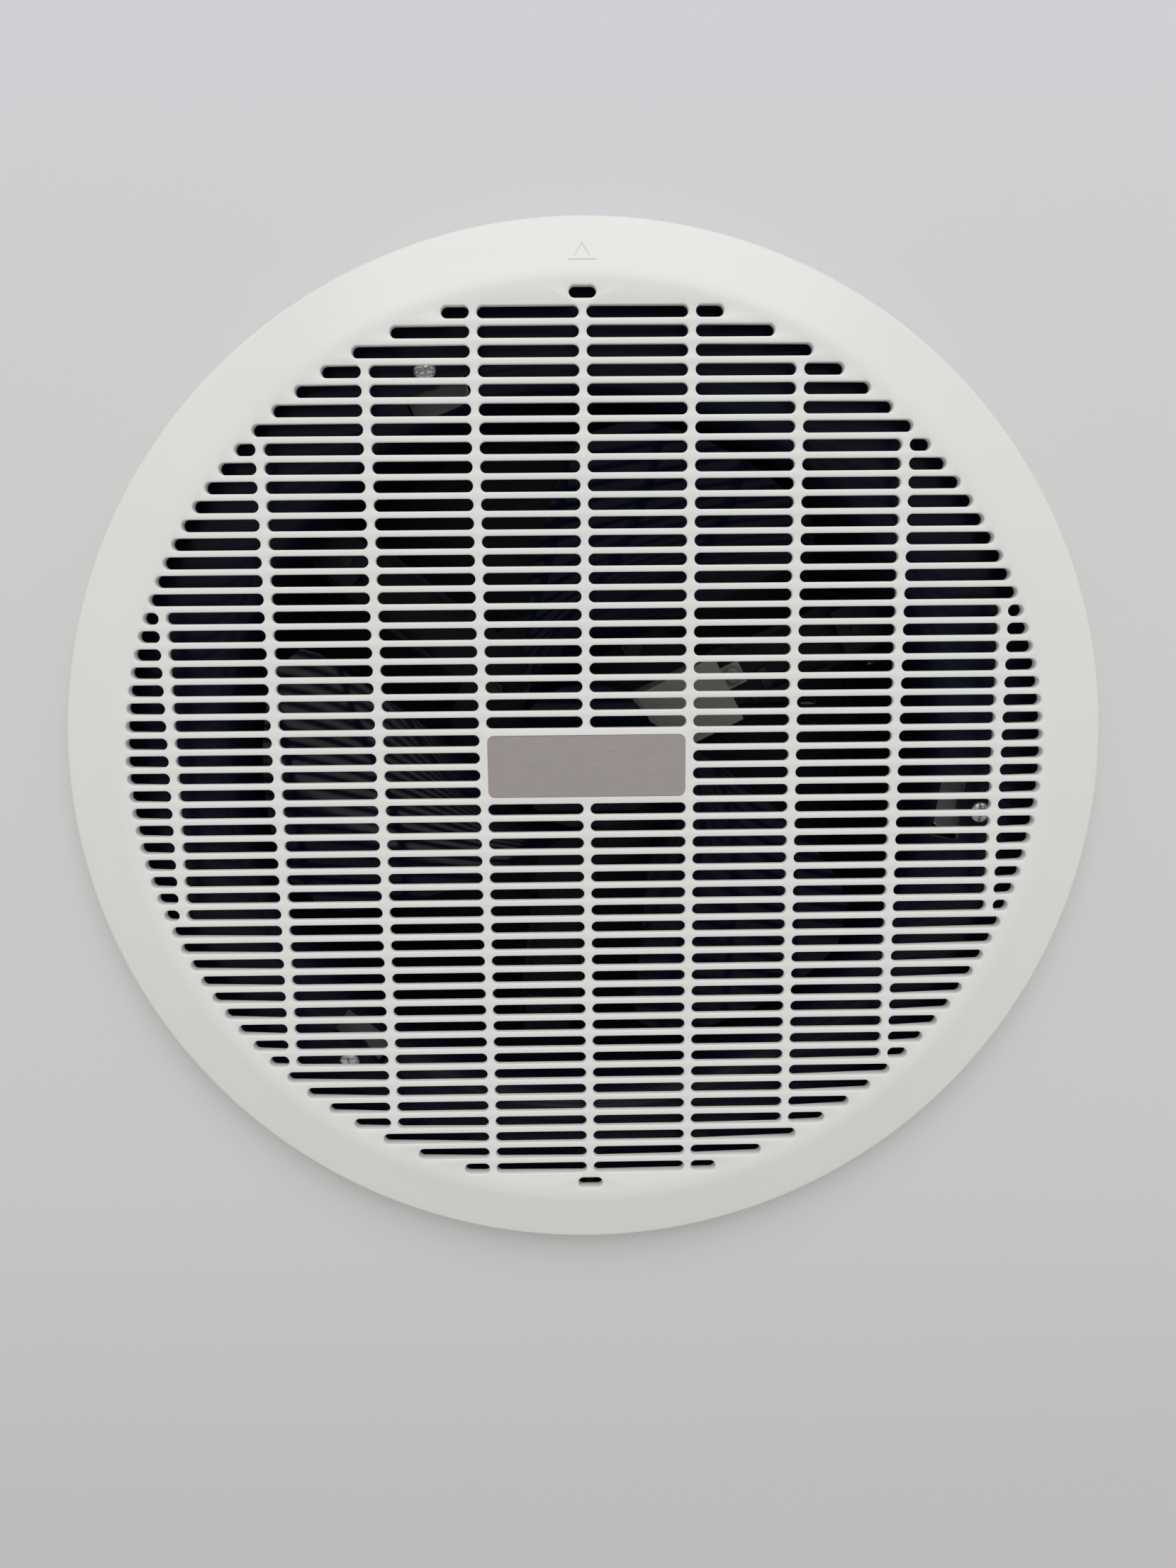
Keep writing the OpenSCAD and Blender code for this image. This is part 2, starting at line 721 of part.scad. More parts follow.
module drum() {
    ledge_r = throat_r - ledge_reach;
    color([0.1, 0.1, 0.12]) difference() {
        union() {
            translate([0, 0, drum_z]) ring(drum_r, throat_r, drum_h);
            for (k = [0:arm_count - 1]) rotate([0, 0, arm_az + k * 120]) intersection() {
                translate([ledge_r, -ledge_w / 2, ledge_top - ledge_t])
                    cube([ledge_reach + drum_t, ledge_w, ledge_t]);
                translate([0, 0, ledge_top - ledge_t - 1]) cylinder(r = throat_r + 1, h = ledge_t + 2);
            }
        }
        for (k = [0:arm_count - 1]) {
            polar(fixing_r, arm_az + k * 120) translate([0, 0, ledge_top - ledge_t - 1])
                cylinder(r = fix_d / 2 + slip, h = ledge_t + 2);
            rotate([0, 0, joint_az + k * 120]) {
                translate([0, 0, collar_screw_z]) rotate([0, 90, 0])
                    cylinder(r = small_d / 2 + slip, h = drum_r + 1);
                translate([0, 0, drum_top - skirt_h / 2]) rotate([0, 90, 0])
                    cylinder(r = small_d / 2 + slip, h = drum_r + 1);
            }
        }
        rotate([0, 0, arm_az]) {
            translate([throat_r - 2, lead_y, lead_z]) rotate([0, 90, 0])
                cylinder(r = lead_hole_r, h = drum_t + 4);
            for (i = [0, 1]) translate([throat_r - 4, (2 * i - 1) * box_screw_y, box_screw_z[i]])
                rotate([0, 90, 0]) cylinder(r = small_d / 2 + slip, h = drum_t + 8);
        }
    }
}

// Radial screws, heads outwards
module wall_screws(z, seat_r) {
    for (k = [0:2]) rotate([0, 0, joint_az + k * 120]) translate([seat_r, 0, z])
        rotate([0, -90, 0]) screw(small_d, seat_r - throat_r, small_d * 2, 2);
}

module drum_screws() {
    color([0.22, 0.22, 0.23]) wall_screws(collar_screw_z, collar_or + slip);
}

module arm_shape() {
    arm_root = hub_plate_r - 12;
    difference() {
        translate([(arm_root + arm_end) / 2, 0]) rounded_rect(arm_end - arm_root, arm_w, arm_corner);
        translate([fixing_r, 0]) circle(r = rubber_d / 2 - 2 + slip);
    }
}

module motor_bracket() {
    color([0.12, 0.12, 0.13]) difference() {
        union() {
            translate([0, 0, bracket_z]) linear_extrude(bracket_t) difference() {
                union() {
                    circle(r = hub_plate_r);
                    for (k = [0:arm_count - 1]) rotate(arm_az + k * 120) arm_shape();
                }
                circle(r = nose_d / 2 + 0.15);
            }
            for (k = [0:arm_count - 1], s = [-1, 1]) rotate([0, 0, arm_az + k * 120])
                translate([lip_r0, s > 0 ? arm_w / 2 - bracket_t : -arm_w / 2, bracket_z - lip_h])
                cube([lip_r1 - lip_r0, bracket_t, lip_h + eps]);
        }
        for (k = [0:bolt_count - 1]) polar(bolt_r, bolt_az + k * 90) translate([0, 0, bracket_z - 1])
            cylinder(r = bolt_d / 2 + screw_slip, h = bracket_t + 2);
        cap_frame() translate([ear_hole_x, ear_y, cap_h - 1])
            cylinder(r = cap_screw_d / 2 + screw_slip, h = bracket_t + 2);
        rotate([0, 0, arm_az]) for (x = tie_x, s = [-1, 1])
            translate([x, lead_y + s * (lead_d / 2 + tie_t / 2 + 0.2), bracket_z])
            cube([tie_w + 0.6, tie_t + 0.4, 2 * bracket_t + 2], center = true);
    }
}

// Rubber bobbins with a groove for the arm, each on a steel spacer
module rubber_mounts() {
    groove = bracket_t + 0.1;
    lip = (rubber_h - groove) / 2;
    color([0.15, 0.15, 0.15]) for (k = [0:arm_count - 1]) polar(fixing_r, arm_az + k * 120)
        translate([0, 0, rubber_z]) difference() {
            union() {
                cylinder(r = rubber_d / 2, h = lip);
                cylinder(r = rubber_d / 2 - 2, h = rubber_h);
                translate([0, 0, lip + groove]) cylinder(r = rubber_d / 2, h = lip);
            }
            translate([0, 0, -1]) cylinder(r = spacer_d / 2 + slip, h = rubber_h + 2);
        }
}

module mount_spacers() {
    color([0.22, 0.22, 0.23]) for (k = [0:arm_count - 1]) polar(fixing_r, arm_az + k * 120)
        translate([0, 0, rubber_z]) ring(spacer_d / 2, fix_d / 2 + slip, rubber_h);
}

module bracket_screws() {
    top = rubber_z + rubber_h;
    color([0.22, 0.22, 0.23]) for (k = [0:arm_count - 1]) polar(fixing_r, arm_az + k * 120)
        translate([0, 0, top]) {
            ring(rubber_d / 2, fix_d / 2 - eps, washer_t);
            translate([0, 0, washer_t]) rotate([180, 0, 0])
                screw(fix_d, washer_t + rubber_h + ledge_t + 1, fix_d * 1.9, fix_head_h);
        }
}

module bolt_holes(z, h) {
    for (k = [0:bolt_count - 1]) polar(bolt_r, bolt_az + k * 90) translate([0, 0, z])
        cylinder(r = bolt_d / 2 + screw_slip, h = h);
}

// Cup with a bearing nose, drawn with its closed end at zero and its mouth upwards
module cover_cup(nose_drop, bearing_at) {
    difference() {
        union() {
            difference() {
                cylinder(r = motor_r, h = cover_h);
                translate([0, 0, cover_t]) cylinder(r = motor_r - cover_t, h = cover_h);
            }
            translate([0, 0, -nose_drop]) cylinder(r = nose_d / 2, h = nose_drop + cover_t);
        }
        translate([0, 0, bearing_at]) cylinder(r = bearing_d / 2 + bearing_seat, h = over);
        translate([0, 0, -nose_drop - 1]) cylinder(r = shaft_d / 2 + free_gap, h = over);
        bolt_holes(-1, cover_t + 2);
    }
}

module motor_front_cover() {
    color([0.14, 0.14, 0.15]) translate([0, 0, front_z]) difference() {
        cover_cup(nose_h, nose_floor - nose_h);
        rotate([0, 0, arm_az]) translate([motor_r - 6, lead_y, lead_run_z + 3 - front_z])
            rotate([0, 90, 0]) cylinder(r = lead_d / 2 + 0.2, h = 10);
        rotate([0, 0, 4]) translate([motor_r - 6, 0, 10]) rotate([0, 90, 0])
            cylinder(r = cap_lead_d + 0.6, h = 10);
    }
}

module motor_rear_cover() {
    color([0.55, 0.56, 0.57]) translate([0, 0, rear_top]) rotate([180, 0, 0]) difference() {
        rotate([0, 0, -2 * bolt_az]) cover_cup(2, nose_floor - 2);
        for (k = [0:7]) rotate([0, 0, k * 45]) translate([vent_in, -vent_w / 2, -1])
            cube([vent_l, vent_w, cover_t + 2]);
    }
}

module stator_slot(grow) {
    s = slot_half;
    r0 = slot_in + grow;
    r1 = slot_out - grow;
    polygon([
        [r0 * cos(s), r0 * sin(s) - grow], [r1 * cos(s), r1 * sin(s) - grow],
        [r1 * cos(s), -r1 * sin(s) + grow], [r0 * cos(s), -r0 * sin(s) + grow]
    ]);
}

module stator_core() {
    color([0.45, 0.46, 0.48]) translate([0, 0, stack_z]) difference() {
        linear_extrude(stack_h) difference() {
            circle(r = stack_r);
            circle(r = stack_bore / 2);
            for (k = [0:stator_slots - 1]) rotate(k * 360 / stator_slots) {
                stator_slot(0);
                translate([stack_bore / 2 - 1, -1.2]) square([slot_in - stack_bore / 2 + 2, 2.4]);
            }
        }
        bolt_holes(-1, stack_h + 2);
    }
}

module stator_winding() {
    mid = (winding_in + winding_out) / 2;
    half = (winding_out - winding_in) / 2;
    color([0.72, 0.4, 0.2]) {
        for (z = [stack_z - winding_h, stack_top + free_gap]) translate([0, 0, z]) rotate_extrude()
            translate([mid, (winding_h - free_gap) / 2]) rounded_rect(2 * half, winding_h - free_gap, 3);
        for (k = [0:stator_slots - 1]) rotate([0, 0, k * 360 / stator_slots])
            translate([0, 0, stack_z - 1]) linear_extrude(stack_h + 2) stator_slot(0.3);
    }
}

module bearing_at(z) {
    color([0.7, 0.52, 0.25]) translate([0, 0, z])
        ring(bearing_d / 2, shaft_d / 2 + run_gap, bearing_l);
}

module bearing_front() {
    bearing_at(front_bearing_z);
}

module bearing_rear() {
    bearing_at(rear_bearing_z);
}

module motor_bolts() {
    color([0.22, 0.22, 0.23]) for (k = [0:bolt_count - 1]) polar(bolt_r, bolt_az + k * 90)
        translate([0, 0, rear_top]) rotate([180, 0, 0])
        screw(bolt_d, rear_top - bracket_z + bolt_nut_h + 1, bolt_d * 1.8, bolt_head_h);
}

module motor_nuts() {
    color([0.22, 0.22, 0.23]) for (k = [0:bolt_count - 1]) polar(bolt_r, bolt_az + k * 90)
        translate([0, 0, bracket_z - bolt_nut_h]) hex_nut(bolt_nut_af, bolt_nut_h, bolt_d / 2 + slip);
}

module rotor() {
    end_r = rotor_r - 1;
    end_h = 3;
    color([0.6, 0.6, 0.62]) difference() {
        union() {
            translate([0, 0, stack_z]) cylinder(r = rotor_r, h = stack_h);
            translate([0, 0, stack_z - end_h]) cylinder(r = end_r, h = stack_h + 2 * end_h);
        }
        translate([0, 0, stack_z - over]) cylinder(r = shaft_d / 2, h = stack_h + 2 * over);
    }
}

module shaft() {
    color([0.75, 0.75, 0.76]) difference() {
        union() {
            translate([0, 0, shaft_front]) cylinder(r = thread_d / 2, h = shoulder_z - shaft_front + eps);
            translate([0, 0, shoulder_z]) cylinder(r = shaft_d / 2, h = shaft_top - shoulder_z);
        }
        translate([-over, 0, drive_z]) rotate([0, 90, 0]) cylinder(r = pin_r, h = 2 * over);
    }
}

module drive_pin() {
    color([0.7, 0.7, 0.72]) translate([-drive_l / 2, 0, drive_z]) rotate([0, 90, 0])
        cylinder(r = pin_r, h = drive_l);
}

// Angles of a blade's edges at a radius, seen from above
function lead_x(r) = -lead_offset + lead_curl * pow(r / tip_r, 3);
function lead_az(r) = -acos(lead_x(r) / r);
function tail_az(r) = trail_az + acos(min(1, trail_offset / r));
function corner_cut(r) = r < tip_r - tip_corner ? 0
    : tip_corner * (1 - sqrt(max(0, 1 - pow((r - tip_r + tip_corner) / tip_corner, 2))));
function cut_angle(r) = corner_cut(r) / r * 180 / PI;
function blade_az_at(r, u) = (lead_az(r) + cut_angle(r)) * (1 - u) + (tail_az(r) - cut_angle(r)) * u;
function blade_mid_z(r, a) = let (w = (a - lead_az(r)) / (tail_az(r) - lead_az(r)))
    blade_z + (a - lead_az(r)) * blade_rise - camber * 4 * w * (1 - w) * (r / tip_r);
function blade_half(r, u) = let (f = (r - root_r) / (tip_r - root_r))
    (root_t * (1 - f) + tip_t * f) * (0.25 + u * (1 - u));
function blade_point(r, u, s) = let (a = blade_az_at(r, u))
    [r * cos(a), r * sin(a), blade_mid_z(r, a) + s * blade_half(r, u)];
function radial_at(i) = let (f = i / radial_steps)
    root_r + (tip_r - root_r) * (f + 0.12 * sin(180 * f));

module blade() {
    m = chord_steps + 1;
    layer = (radial_steps + 1) * m;
    pts = [for (s = [-1, 1], i = [0:radial_steps], j = [0:chord_steps])
        blade_point(radial_at(i), j / chord_steps, s)];
    low = [for (i = [0:radial_steps - 1], j = [0:chord_steps - 1]) let (a = i * m + j)
        each [[a, a + m, a + m + 1], [a, a + m + 1, a + 1]]];
    high = [for (f = low) [f[0] + layer, f[2] + layer, f[1] + layer]];
    ends = [for (j = [0:chord_steps - 1]) let (a = j, b = radial_steps * m + j)
        each [[a, a + layer + 1, a + layer], [a, a + 1, a + layer + 1],
              [b, b + layer + 1, b + 1], [b, b + layer, b + layer + 1]]];
    sides = [for (i = [0:radial_steps - 1]) let (a = i * m, b = i * m + chord_steps)
        each [[a, a + m + layer, a + m], [a, a + layer, a + m + layer],
              [b, b + m, b + m + layer], [b, b + m + layer, b + layer]]];
    polyhedron(points = pts, faces = concat(low, high, ends, sides));
}

module impeller() {
    inner_r = hub_r - hub_t;
    color([0.06, 0.06, 0.07]) difference() {
        union() {
            translate([0, 0, hub_z]) difference() {
                cylinder(r = hub_r, h = hub_h);
                translate([0, 0, web_t]) cylinder(r = inner_r, h = hub_h);
            }
            translate([0, 0, hub_z]) cylinder(r = boss_r, h = hub_h - 2);
            for (k = [0:5]) rotate([0, 0, k * 60 + 30]) translate([boss_r - 1, -1, hub_z + 1])
                cube([inner_r - boss_r + 2, 2, hub_h * 0.6]);
            for (k = [0:blades - 1]) rotate([0, 0, blade_az + k * 360 / blades]) blade();
        }
        translate([0, 0, hub_z - 1]) cylinder(r = thread_d / 2 + slip, h = hub_h);
        translate([0, 0, shoulder_z]) cylinder(r = shaft_d / 2 + 0.02, h = hub_h);
        translate([-over, -pin_r - slip, drive_z - pin_r - slip]) cube([2 * over, 2 * (pin_r + slip), 10]);
    }
}

module impeller_washer() {
    color([0.22, 0.22, 0.23]) translate([0, 0, washer_z]) ring(boss_r, thread_d / 2 + slip, hub_z - washer_z);
}

module impeller_nut() {
    color([0.22, 0.22, 0.23]) translate([0, 0, washer_z - wheel_nut_h])
        hex_nut(wheel_nut_af, wheel_nut_h, thread_d / 2 + slip);
}

module cap_frame() {
    translate([cap_x, cap_y, cap_z]) rotate([0, 0, cap_az]) children();
}

module capacitor() {
    color([0.72, 0.73, 0.72]) cap_frame() difference() {
        union() {
            translate([-cap_l / 2, -cap_w / 2, 0]) cube([cap_l, cap_w, cap_h]);
            translate([cap_l / 2 - 1, ear_y - ear_w / 2, cap_h - ear_t]) cube([ear_l + 1, ear_w, ear_t]);
        }
        translate([ear_hole_x, ear_y, cap_h - ear_t - 1])
            cylinder(r = cap_screw_d / 2 + screw_slip, h = ear_t + 2);
    }
}

module capacitor_screw() {
    nut_h = 2.8;
    color([0.72, 0.73, 0.72]) cap_frame() translate([ear_hole_x, ear_y, cap_h - ear_t]) {
        screw(cap_screw_d, ear_t + bracket_t + nut_h + 0.6, cap_screw_d * 2, 2.2);
        translate([0, 0, ear_t + bracket_t]) hex_nut(6, nut_h, cap_screw_d / 2 - eps);
    }
}

// Two thin leads from the capacitor round the plate's edge into the front cover
module capacitor_leads() {
    side_y = cap_w / 2;
    exit_z = front_z + 10;
    edge = hub_plate_r;
    color([0.12, 0.12, 0.13]) for (s = [-1, 1]) {
        along = 6 - 1.3 * s;
        start = [cap_x, cap_y, cap_z + 9]
            + [cos(cap_az) * along - sin(cap_az) * side_y, sin(cap_az) * along + cos(cap_az) * side_y, 0];
        slant = [-0.9 * s, 0.9 * s, 0];
        shift = [0, 1.1 * s, 0];
        swept([
            start, start + [1.2, 2.6, 0],
            [edge + 2.6, 1.6, cap_z + 9.6] + slant, [edge + 5.6, 3.2, cap_z + 12] + slant,
            [edge + 7, 4, bracket_z] + shift, [edge + 6.6, 4.2, exit_z - 5] + shift,
            [edge + 3, 3.8, exit_z - 1] + shift, [motor_r + 5, 3.4, exit_z] + shift,
            [motor_r - 2.5, 3.1, exit_z] + shift
        ], cap_lead_d / 2, 8, [0.3, -1, 0.2]);
    }
}

// The motor lead lies on the arm, then climbs to its grommet in the drum wall
module motor_lead() {
    x0 = motor_r - cover_t - 0.5;
    z0 = lead_run_z + 3;
    color([0.25, 0.25, 0.27]) rotate([0, 0, arm_az]) swept([
        [x0, lead_y, z0], [x0 + 5, lead_y, z0], [x0 + 9, lead_y, z0 - 0.8], [x0 + 14, lead_y, z0 - 2.2],
        [x0 + 19, lead_y, lead_run_z], [tie_x[0] + 2, lead_y, lead_run_z], [climb_x, lead_y, lead_run_z],
        [climb_x + 5, lead_y, lead_run_z + 0.9], [climb_x + 10, lead_y, (lead_run_z + lead_z) / 2],
        [climb_x + 15, lead_y, lead_z - 0.9], [climb_x + 20, lead_y, lead_z],
        [box_back + box_t + 3, lead_y, lead_z]
    ], lead_d / 2, 12, [0, 1, 0]);
}

module lead_cores() {
    x0 = box_back + box_t + 3;
    top = block_z + block_h;
    color([0.45, 0.3, 0.15]) rotate([0, 0, arm_az]) for (k = [-1:1]) {
        y0 = lead_y + 2 * k;
        y1 = k * block_w / 3.4;
        bend = k < 0 ? 2.4 : 4.8;
        swept([
            [x0, y0, lead_z], [x0 + bend / 2, y0, lead_z],
            [x0 + bend, y0 * 0.6 + y1 * 0.4, lead_z - 1.4],
            [x0 + bend, y0 * 0.2 + y1 * 0.8, lead_z - 4], [x0 + 5, y1, top + 1.6], [x0 + 5, y1, top]
        ], core_d / 2, 8, [0.3, 1, 0.02]);
    }
}

module lead_ties() {
    w = lead_d + 2 * tie_t + 0.4;
    top = lead_run_z + lead_d / 2 + 0.2 + tie_t;
    bottom = bracket_z - tie_t;
    color([0.1, 0.1, 0.1]) rotate([0, 0, arm_az]) for (x = tie_x) translate([x - tie_w / 2, lead_y, 0])
        difference() {
            translate([0, -w / 2, bottom]) cube([tie_w, w, top - bottom]);
            translate([-1, -w / 2 + tie_t, bottom + tie_t])
                cube([tie_w + 2, w - 2 * tie_t, top - bottom - 2 * tie_t]);
        }
}

// A flanged rubber bush through the drum wall and the back of the terminal box
module lead_grommet() {
    x0 = throat_r - 2.2;
    x1 = box_back + box_t + 0.4;
    color([0.12, 0.12, 0.12]) rotate([0, 0, arm_az]) translate([x0, lead_y, lead_z]) rotate([0, 90, 0])
        difference() {
            union() {
                cylinder(r = lead_hole_r + 2, h = 1.6);
                cylinder(r = lead_hole_r - slip, h = x1 - x0 + 1.6);
                translate([0, 0, x1 - x0]) cylinder(r = lead_hole_r + 2, h = 1.6);
            }
            translate([0, 0, -1]) cylinder(r = lead_d / 2 + slip, h = x1 - x0 + 5);
        }
}

module terminal_box() {
    post = 7;
    color([0.2, 0.2, 0.22]) rotate([0, 0, arm_az]) difference() {
        union() {
            difference() {
                translate([box_back - 5, -box_w / 2, box_z]) cube([box_r - box_back + 5, box_w, box_h]);
                intersection() {
                    translate([box_back - 6, -box_w / 2 + box_t, box_z + box_t])
                        cube([box_r - box_back + 7, box_w - 2 * box_t, box_h - 2 * box_t]);
                    translate([0, 0, box_z]) ring(box_r + over, box_back + box_t, box_h);
                }
            }
            for (z = cover_screw_z) translate([box_back + 1, -post / 2, z - post / 2])
                cube([box_r - box_back - 1, post, post]);
            translate([box_back + 1, -block_w / 2, block_z])
                cube([block_x - box_back - 1, block_w, block_h]);
        }
        translate([0, 0, box_z - 1]) cylinder(r = box_back, h = box_h + 2);
        for (z = cover_screw_z) translate([box_r - 12, 0, z]) rotate([0, 90, 0])
            cylinder(r = small_d / 2 + slip, h = 13);
        for (i = [0, 1]) translate([box_back - 5, (2 * i - 1) * box_screw_y, box_screw_z[i]])
            rotate([0, 90, 0]) cylinder(r = small_d / 2 + slip, h = 14);
        translate([box_back - 2, lead_y, lead_z]) rotate([0, 90, 0]) cylinder(r = lead_hole_r, h = 8);
        translate([gland_x, gland_y, box_top - box_t - 1]) cylinder(r = gland_d / 2 + slip, h = box_t + 2);
    }
}

module box_screws() {
    seat = sqrt(pow(box_back + box_t, 2) - pow(box_screw_y - small_d, 2)) + 0.1;
    color("silver") rotate([0, 0, arm_az]) for (i = [0, 1])
        translate([seat, (2 * i - 1) * box_screw_y, box_screw_z[i]])
        rotate([0, -90, 0]) screw(small_d, seat - throat_r + 3, small_d * 2, 2);
}

module terminal_block() {
    color([0.88, 0.87, 0.82]) rotate([0, 0, arm_az]) difference() {
        translate([block_x, -block_w / 2, block_z]) cube([block_l, block_w, block_h]);
        for (k = [-1:1], z = [block_z + 3.4, block_z + block_h - 3.4])
            translate([block_x + block_l - 4, k * block_w / 3.4, z]) rotate([0, 90, 0])
            cylinder(r = 2.2, h = 5);
        for (k = [-0.5, 0.5]) translate([block_x + block_l - 3, k * block_w / 3.4 - 0.8, block_z - 1])
            cube([4, 1.6, block_h + 2]);
    }
}

module terminal_screws() {
    color([0.8, 0.65, 0.3]) rotate([0, 0, arm_az])
        for (k = [-1:1], z = [block_z + 3.4, block_z + block_h - 3.4])
        translate([block_x + block_l - 4, k * block_w / 3.4, z]) rotate([0, 90, 0]) difference() {
            cylinder(r = 2, h = 2.4);
            translate([-2.5, -0.3, 1.6]) cube([5, 0.6, 2]);
        }
}

module terminal_cover() {
    color([0.2, 0.2, 0.22]) rotate([0, 0, arm_az]) difference() {
        translate([box_r + lid_gap, -box_w / 2, box_z]) cube([lid_t, box_w, box_h]);
        for (z = cover_screw_z) translate([box_r - 1, 0, z]) rotate([0, 90, 0])
            cylinder(r = small_d / 2 + screw_slip, h = lid_t + 3);
    }
}

module cover_screws() {
    seat = box_r + lid_gap + lid_t;
    color("silver") rotate([0, 0, arm_az]) for (z = cover_screw_z) translate([seat, 0, z])
        rotate([0, -90, 0]) screw(small_d, lid_t + cover_screw_bite, small_d * 1.8, 1.6);
}

module cable_gland() {
    flange_d2 = gland_d + 2.6;
    color([0.14, 0.14, 0.15]) rotate([0, 0, arm_az]) translate([gland_x, gland_y, box_top]) difference() {
        union() {
            translate([0, 0, -box_t - 3]) cylinder(r = gland_d / 2, h = box_t + 3);
            cylinder(r = flange_d2 / 2, h = 3.4);
            cylinder(r = gland_d / 2 - 1.4, h = 10);
        }
        translate([0, 0, -box_t - 4]) cylinder(r = gland_bore / 2, h = 20);
    }
}

module gland_nut() {
    inner = gland_d / 2 - 1.4 + 0.1;
    outer = gland_d / 2 + 1.2;
    color([0.14, 0.14, 0.15]) rotate([0, 0, arm_az]) translate([gland_x, gland_y, box_top + 3.6])
        rotate_extrude() polygon([
            [inner, 0], [outer, 0], [outer, 6], [outer - 1, 8.4], [gland_bore / 2 + 0.6, 9.6],
            [gland_bore / 2 + 0.6, 6.8], [inner, 6.8]
        ]);
}

// Spigot with a skirt over the drum, a ledge and a crossbar for the flaps
module damper_frame() {
    color([0.1, 0.1, 0.12]) difference() {
        union() {
            translate([0, 0, drum_top - skirt_h]) ring(drum_r + slip + skirt_t, drum_r + slip, skirt_h + eps);
            translate([0, 0, drum_top]) ring(spigot_r, throat_r, spigot_h);
            translate([0, 0, drum_top]) ring(drum_r + slip + skirt_t, throat_r, 1.6);
            translate([0, 0, drum_top]) ring(throat_r + 1, throat_r - rest_w, rest_t);
            intersection() {
                translate([0, 0, drum_top]) cylinder(r = throat_r + 1, h = spigot_h);
                union() {
                    translate([-throat_r - 1, -cross_w / 2, drum_top])
                        cube([2 * throat_r + 2, cross_w, rest_t]);
                    for (x = lug_x) translate([x - lug_t / 2, -cross_w / 2, drum_top])
                        cube([lug_t, cross_w, lug_top - drum_top]);
                }
            }
        }
        translate([-throat_r, 0, hinge_z]) rotate([0, 90, 0])
            cylinder(r = pin_d / 2 + slip, h = 2 * throat_r);
        for (k = [0:2]) rotate([0, 0, joint_az + k * 120]) translate([drum_r - 1, 0, drum_top - skirt_h / 2])
            rotate([0, 90, 0]) cylinder(r = small_d / 2 + slip, h = skirt_t + 3);
    }
}

module damper_screws() {
    color("silver") wall_screws(drum_top - skirt_h / 2, drum_r + slip + skirt_t + slip);
}

module damper_pin() {
    color("silver") translate([-pin_l / 2, 0, hinge_z]) rotate([0, 90, 0])
        cylinder(r = pin_d / 2, h = pin_l);
}

// Half disc with two knuckles on the shared pin
module damper_flap() {
    color([0.1, 0.1, 0.11]) difference() {
        union() {
            translate([0, 0, flap_z]) linear_extrude(flap_t) intersection() {
                circle(r = flap_r);
                translate([-flap_r, flap_edge]) square([2 * flap_r, flap_r]);
            }
            for (x = knuckle_x) {
                translate([x - knuckle_l / 2, 0, hinge_z]) rotate([0, 90, 0])
                    cylinder(r = knuckle_d / 2, h = knuckle_l);
                translate([x - knuckle_l / 2, 1, flap_z]) cube([knuckle_l, flap_edge, flap_t]);
            }
        }
        for (x = lug_x) translate([x - lug_t / 2 - 0.7, 0, flap_z - 1])
            cube([lug_t + 1.4, notch_y, flap_t + 2]);
        translate([-throat_r, 0, hinge_z]) rotate([0, 90, 0])
            cylinder(r = pin_d / 2 + slip, h = 2 * throat_r);
    }
}

module damper_flap_1() {
    damper_flap();
}

module damper_flap_2() {
    rotate([0, 0, 180]) damper_flap();
}

grille();
nameplate();
grille_clips();
bell_mouth();
clamp_screw(0);  // clamp_screw_1
clamp_screw(1);  // clamp_screw_2
clamp_screw(2);  // clamp_screw_3
clamp_nut(0);  // clamp_nut_1
clamp_nut(1);  // clamp_nut_2
clamp_nut(2);  // clamp_nut_3
clamp_dog(0);  // clamp_dog_1
clamp_dog(1);  // clamp_dog_2
clamp_dog(2);  // clamp_dog_3
drum();
drum_screws();
motor_bracket();
rubber_mounts();
mount_spacers();
bracket_screws();
motor_front_cover();
motor_rear_cover();
stator_core();
stator_winding();
bearing_front();
bearing_rear();
motor_bolts();
motor_nuts();
rotor();
shaft();
drive_pin();
impeller();
impeller_washer();
impeller_nut();
capacitor();
capacitor_screw();
capacitor_leads();
motor_lead();
lead_cores();
lead_ties();
lead_grommet();
terminal_box();
box_screws();
terminal_block();
terminal_screws();
terminal_cover();
cover_screws();
cable_gland();
gland_nut();
damper_frame();
damper_screws();
damper_pin();
damper_flap_1();
damper_flap_2();
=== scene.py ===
import bpy
import bmesh
import math
from mathutils import Matrix, Vector


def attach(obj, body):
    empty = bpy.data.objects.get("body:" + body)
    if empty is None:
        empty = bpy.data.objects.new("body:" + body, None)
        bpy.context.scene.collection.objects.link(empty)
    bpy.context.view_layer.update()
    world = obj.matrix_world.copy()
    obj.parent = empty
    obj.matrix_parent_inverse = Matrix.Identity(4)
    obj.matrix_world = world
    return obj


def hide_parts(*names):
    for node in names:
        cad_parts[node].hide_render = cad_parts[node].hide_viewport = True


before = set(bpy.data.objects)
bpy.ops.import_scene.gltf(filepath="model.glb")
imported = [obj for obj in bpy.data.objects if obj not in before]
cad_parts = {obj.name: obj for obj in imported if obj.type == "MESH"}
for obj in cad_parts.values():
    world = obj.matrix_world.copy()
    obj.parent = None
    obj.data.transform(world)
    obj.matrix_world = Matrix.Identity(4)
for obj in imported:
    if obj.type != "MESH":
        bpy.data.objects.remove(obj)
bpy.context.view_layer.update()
scene = bpy.context.scene

MM = 0.001

# Sizes of the fascia in millimetres, as the CAD has them. Z grows upwards, away from the room.
FACE_Z = -16.0
BACK_Z = -14.0
FASCIA_R = 177.0
BORDER_TILT = math.radians(15.0)
BEND_R, BEND_Z = 160.88, -15.32
BORDER_THICK = 2.2
EDGE_ROUND = 1.5
WALL = 2.0
WALL_TOP = -0.6

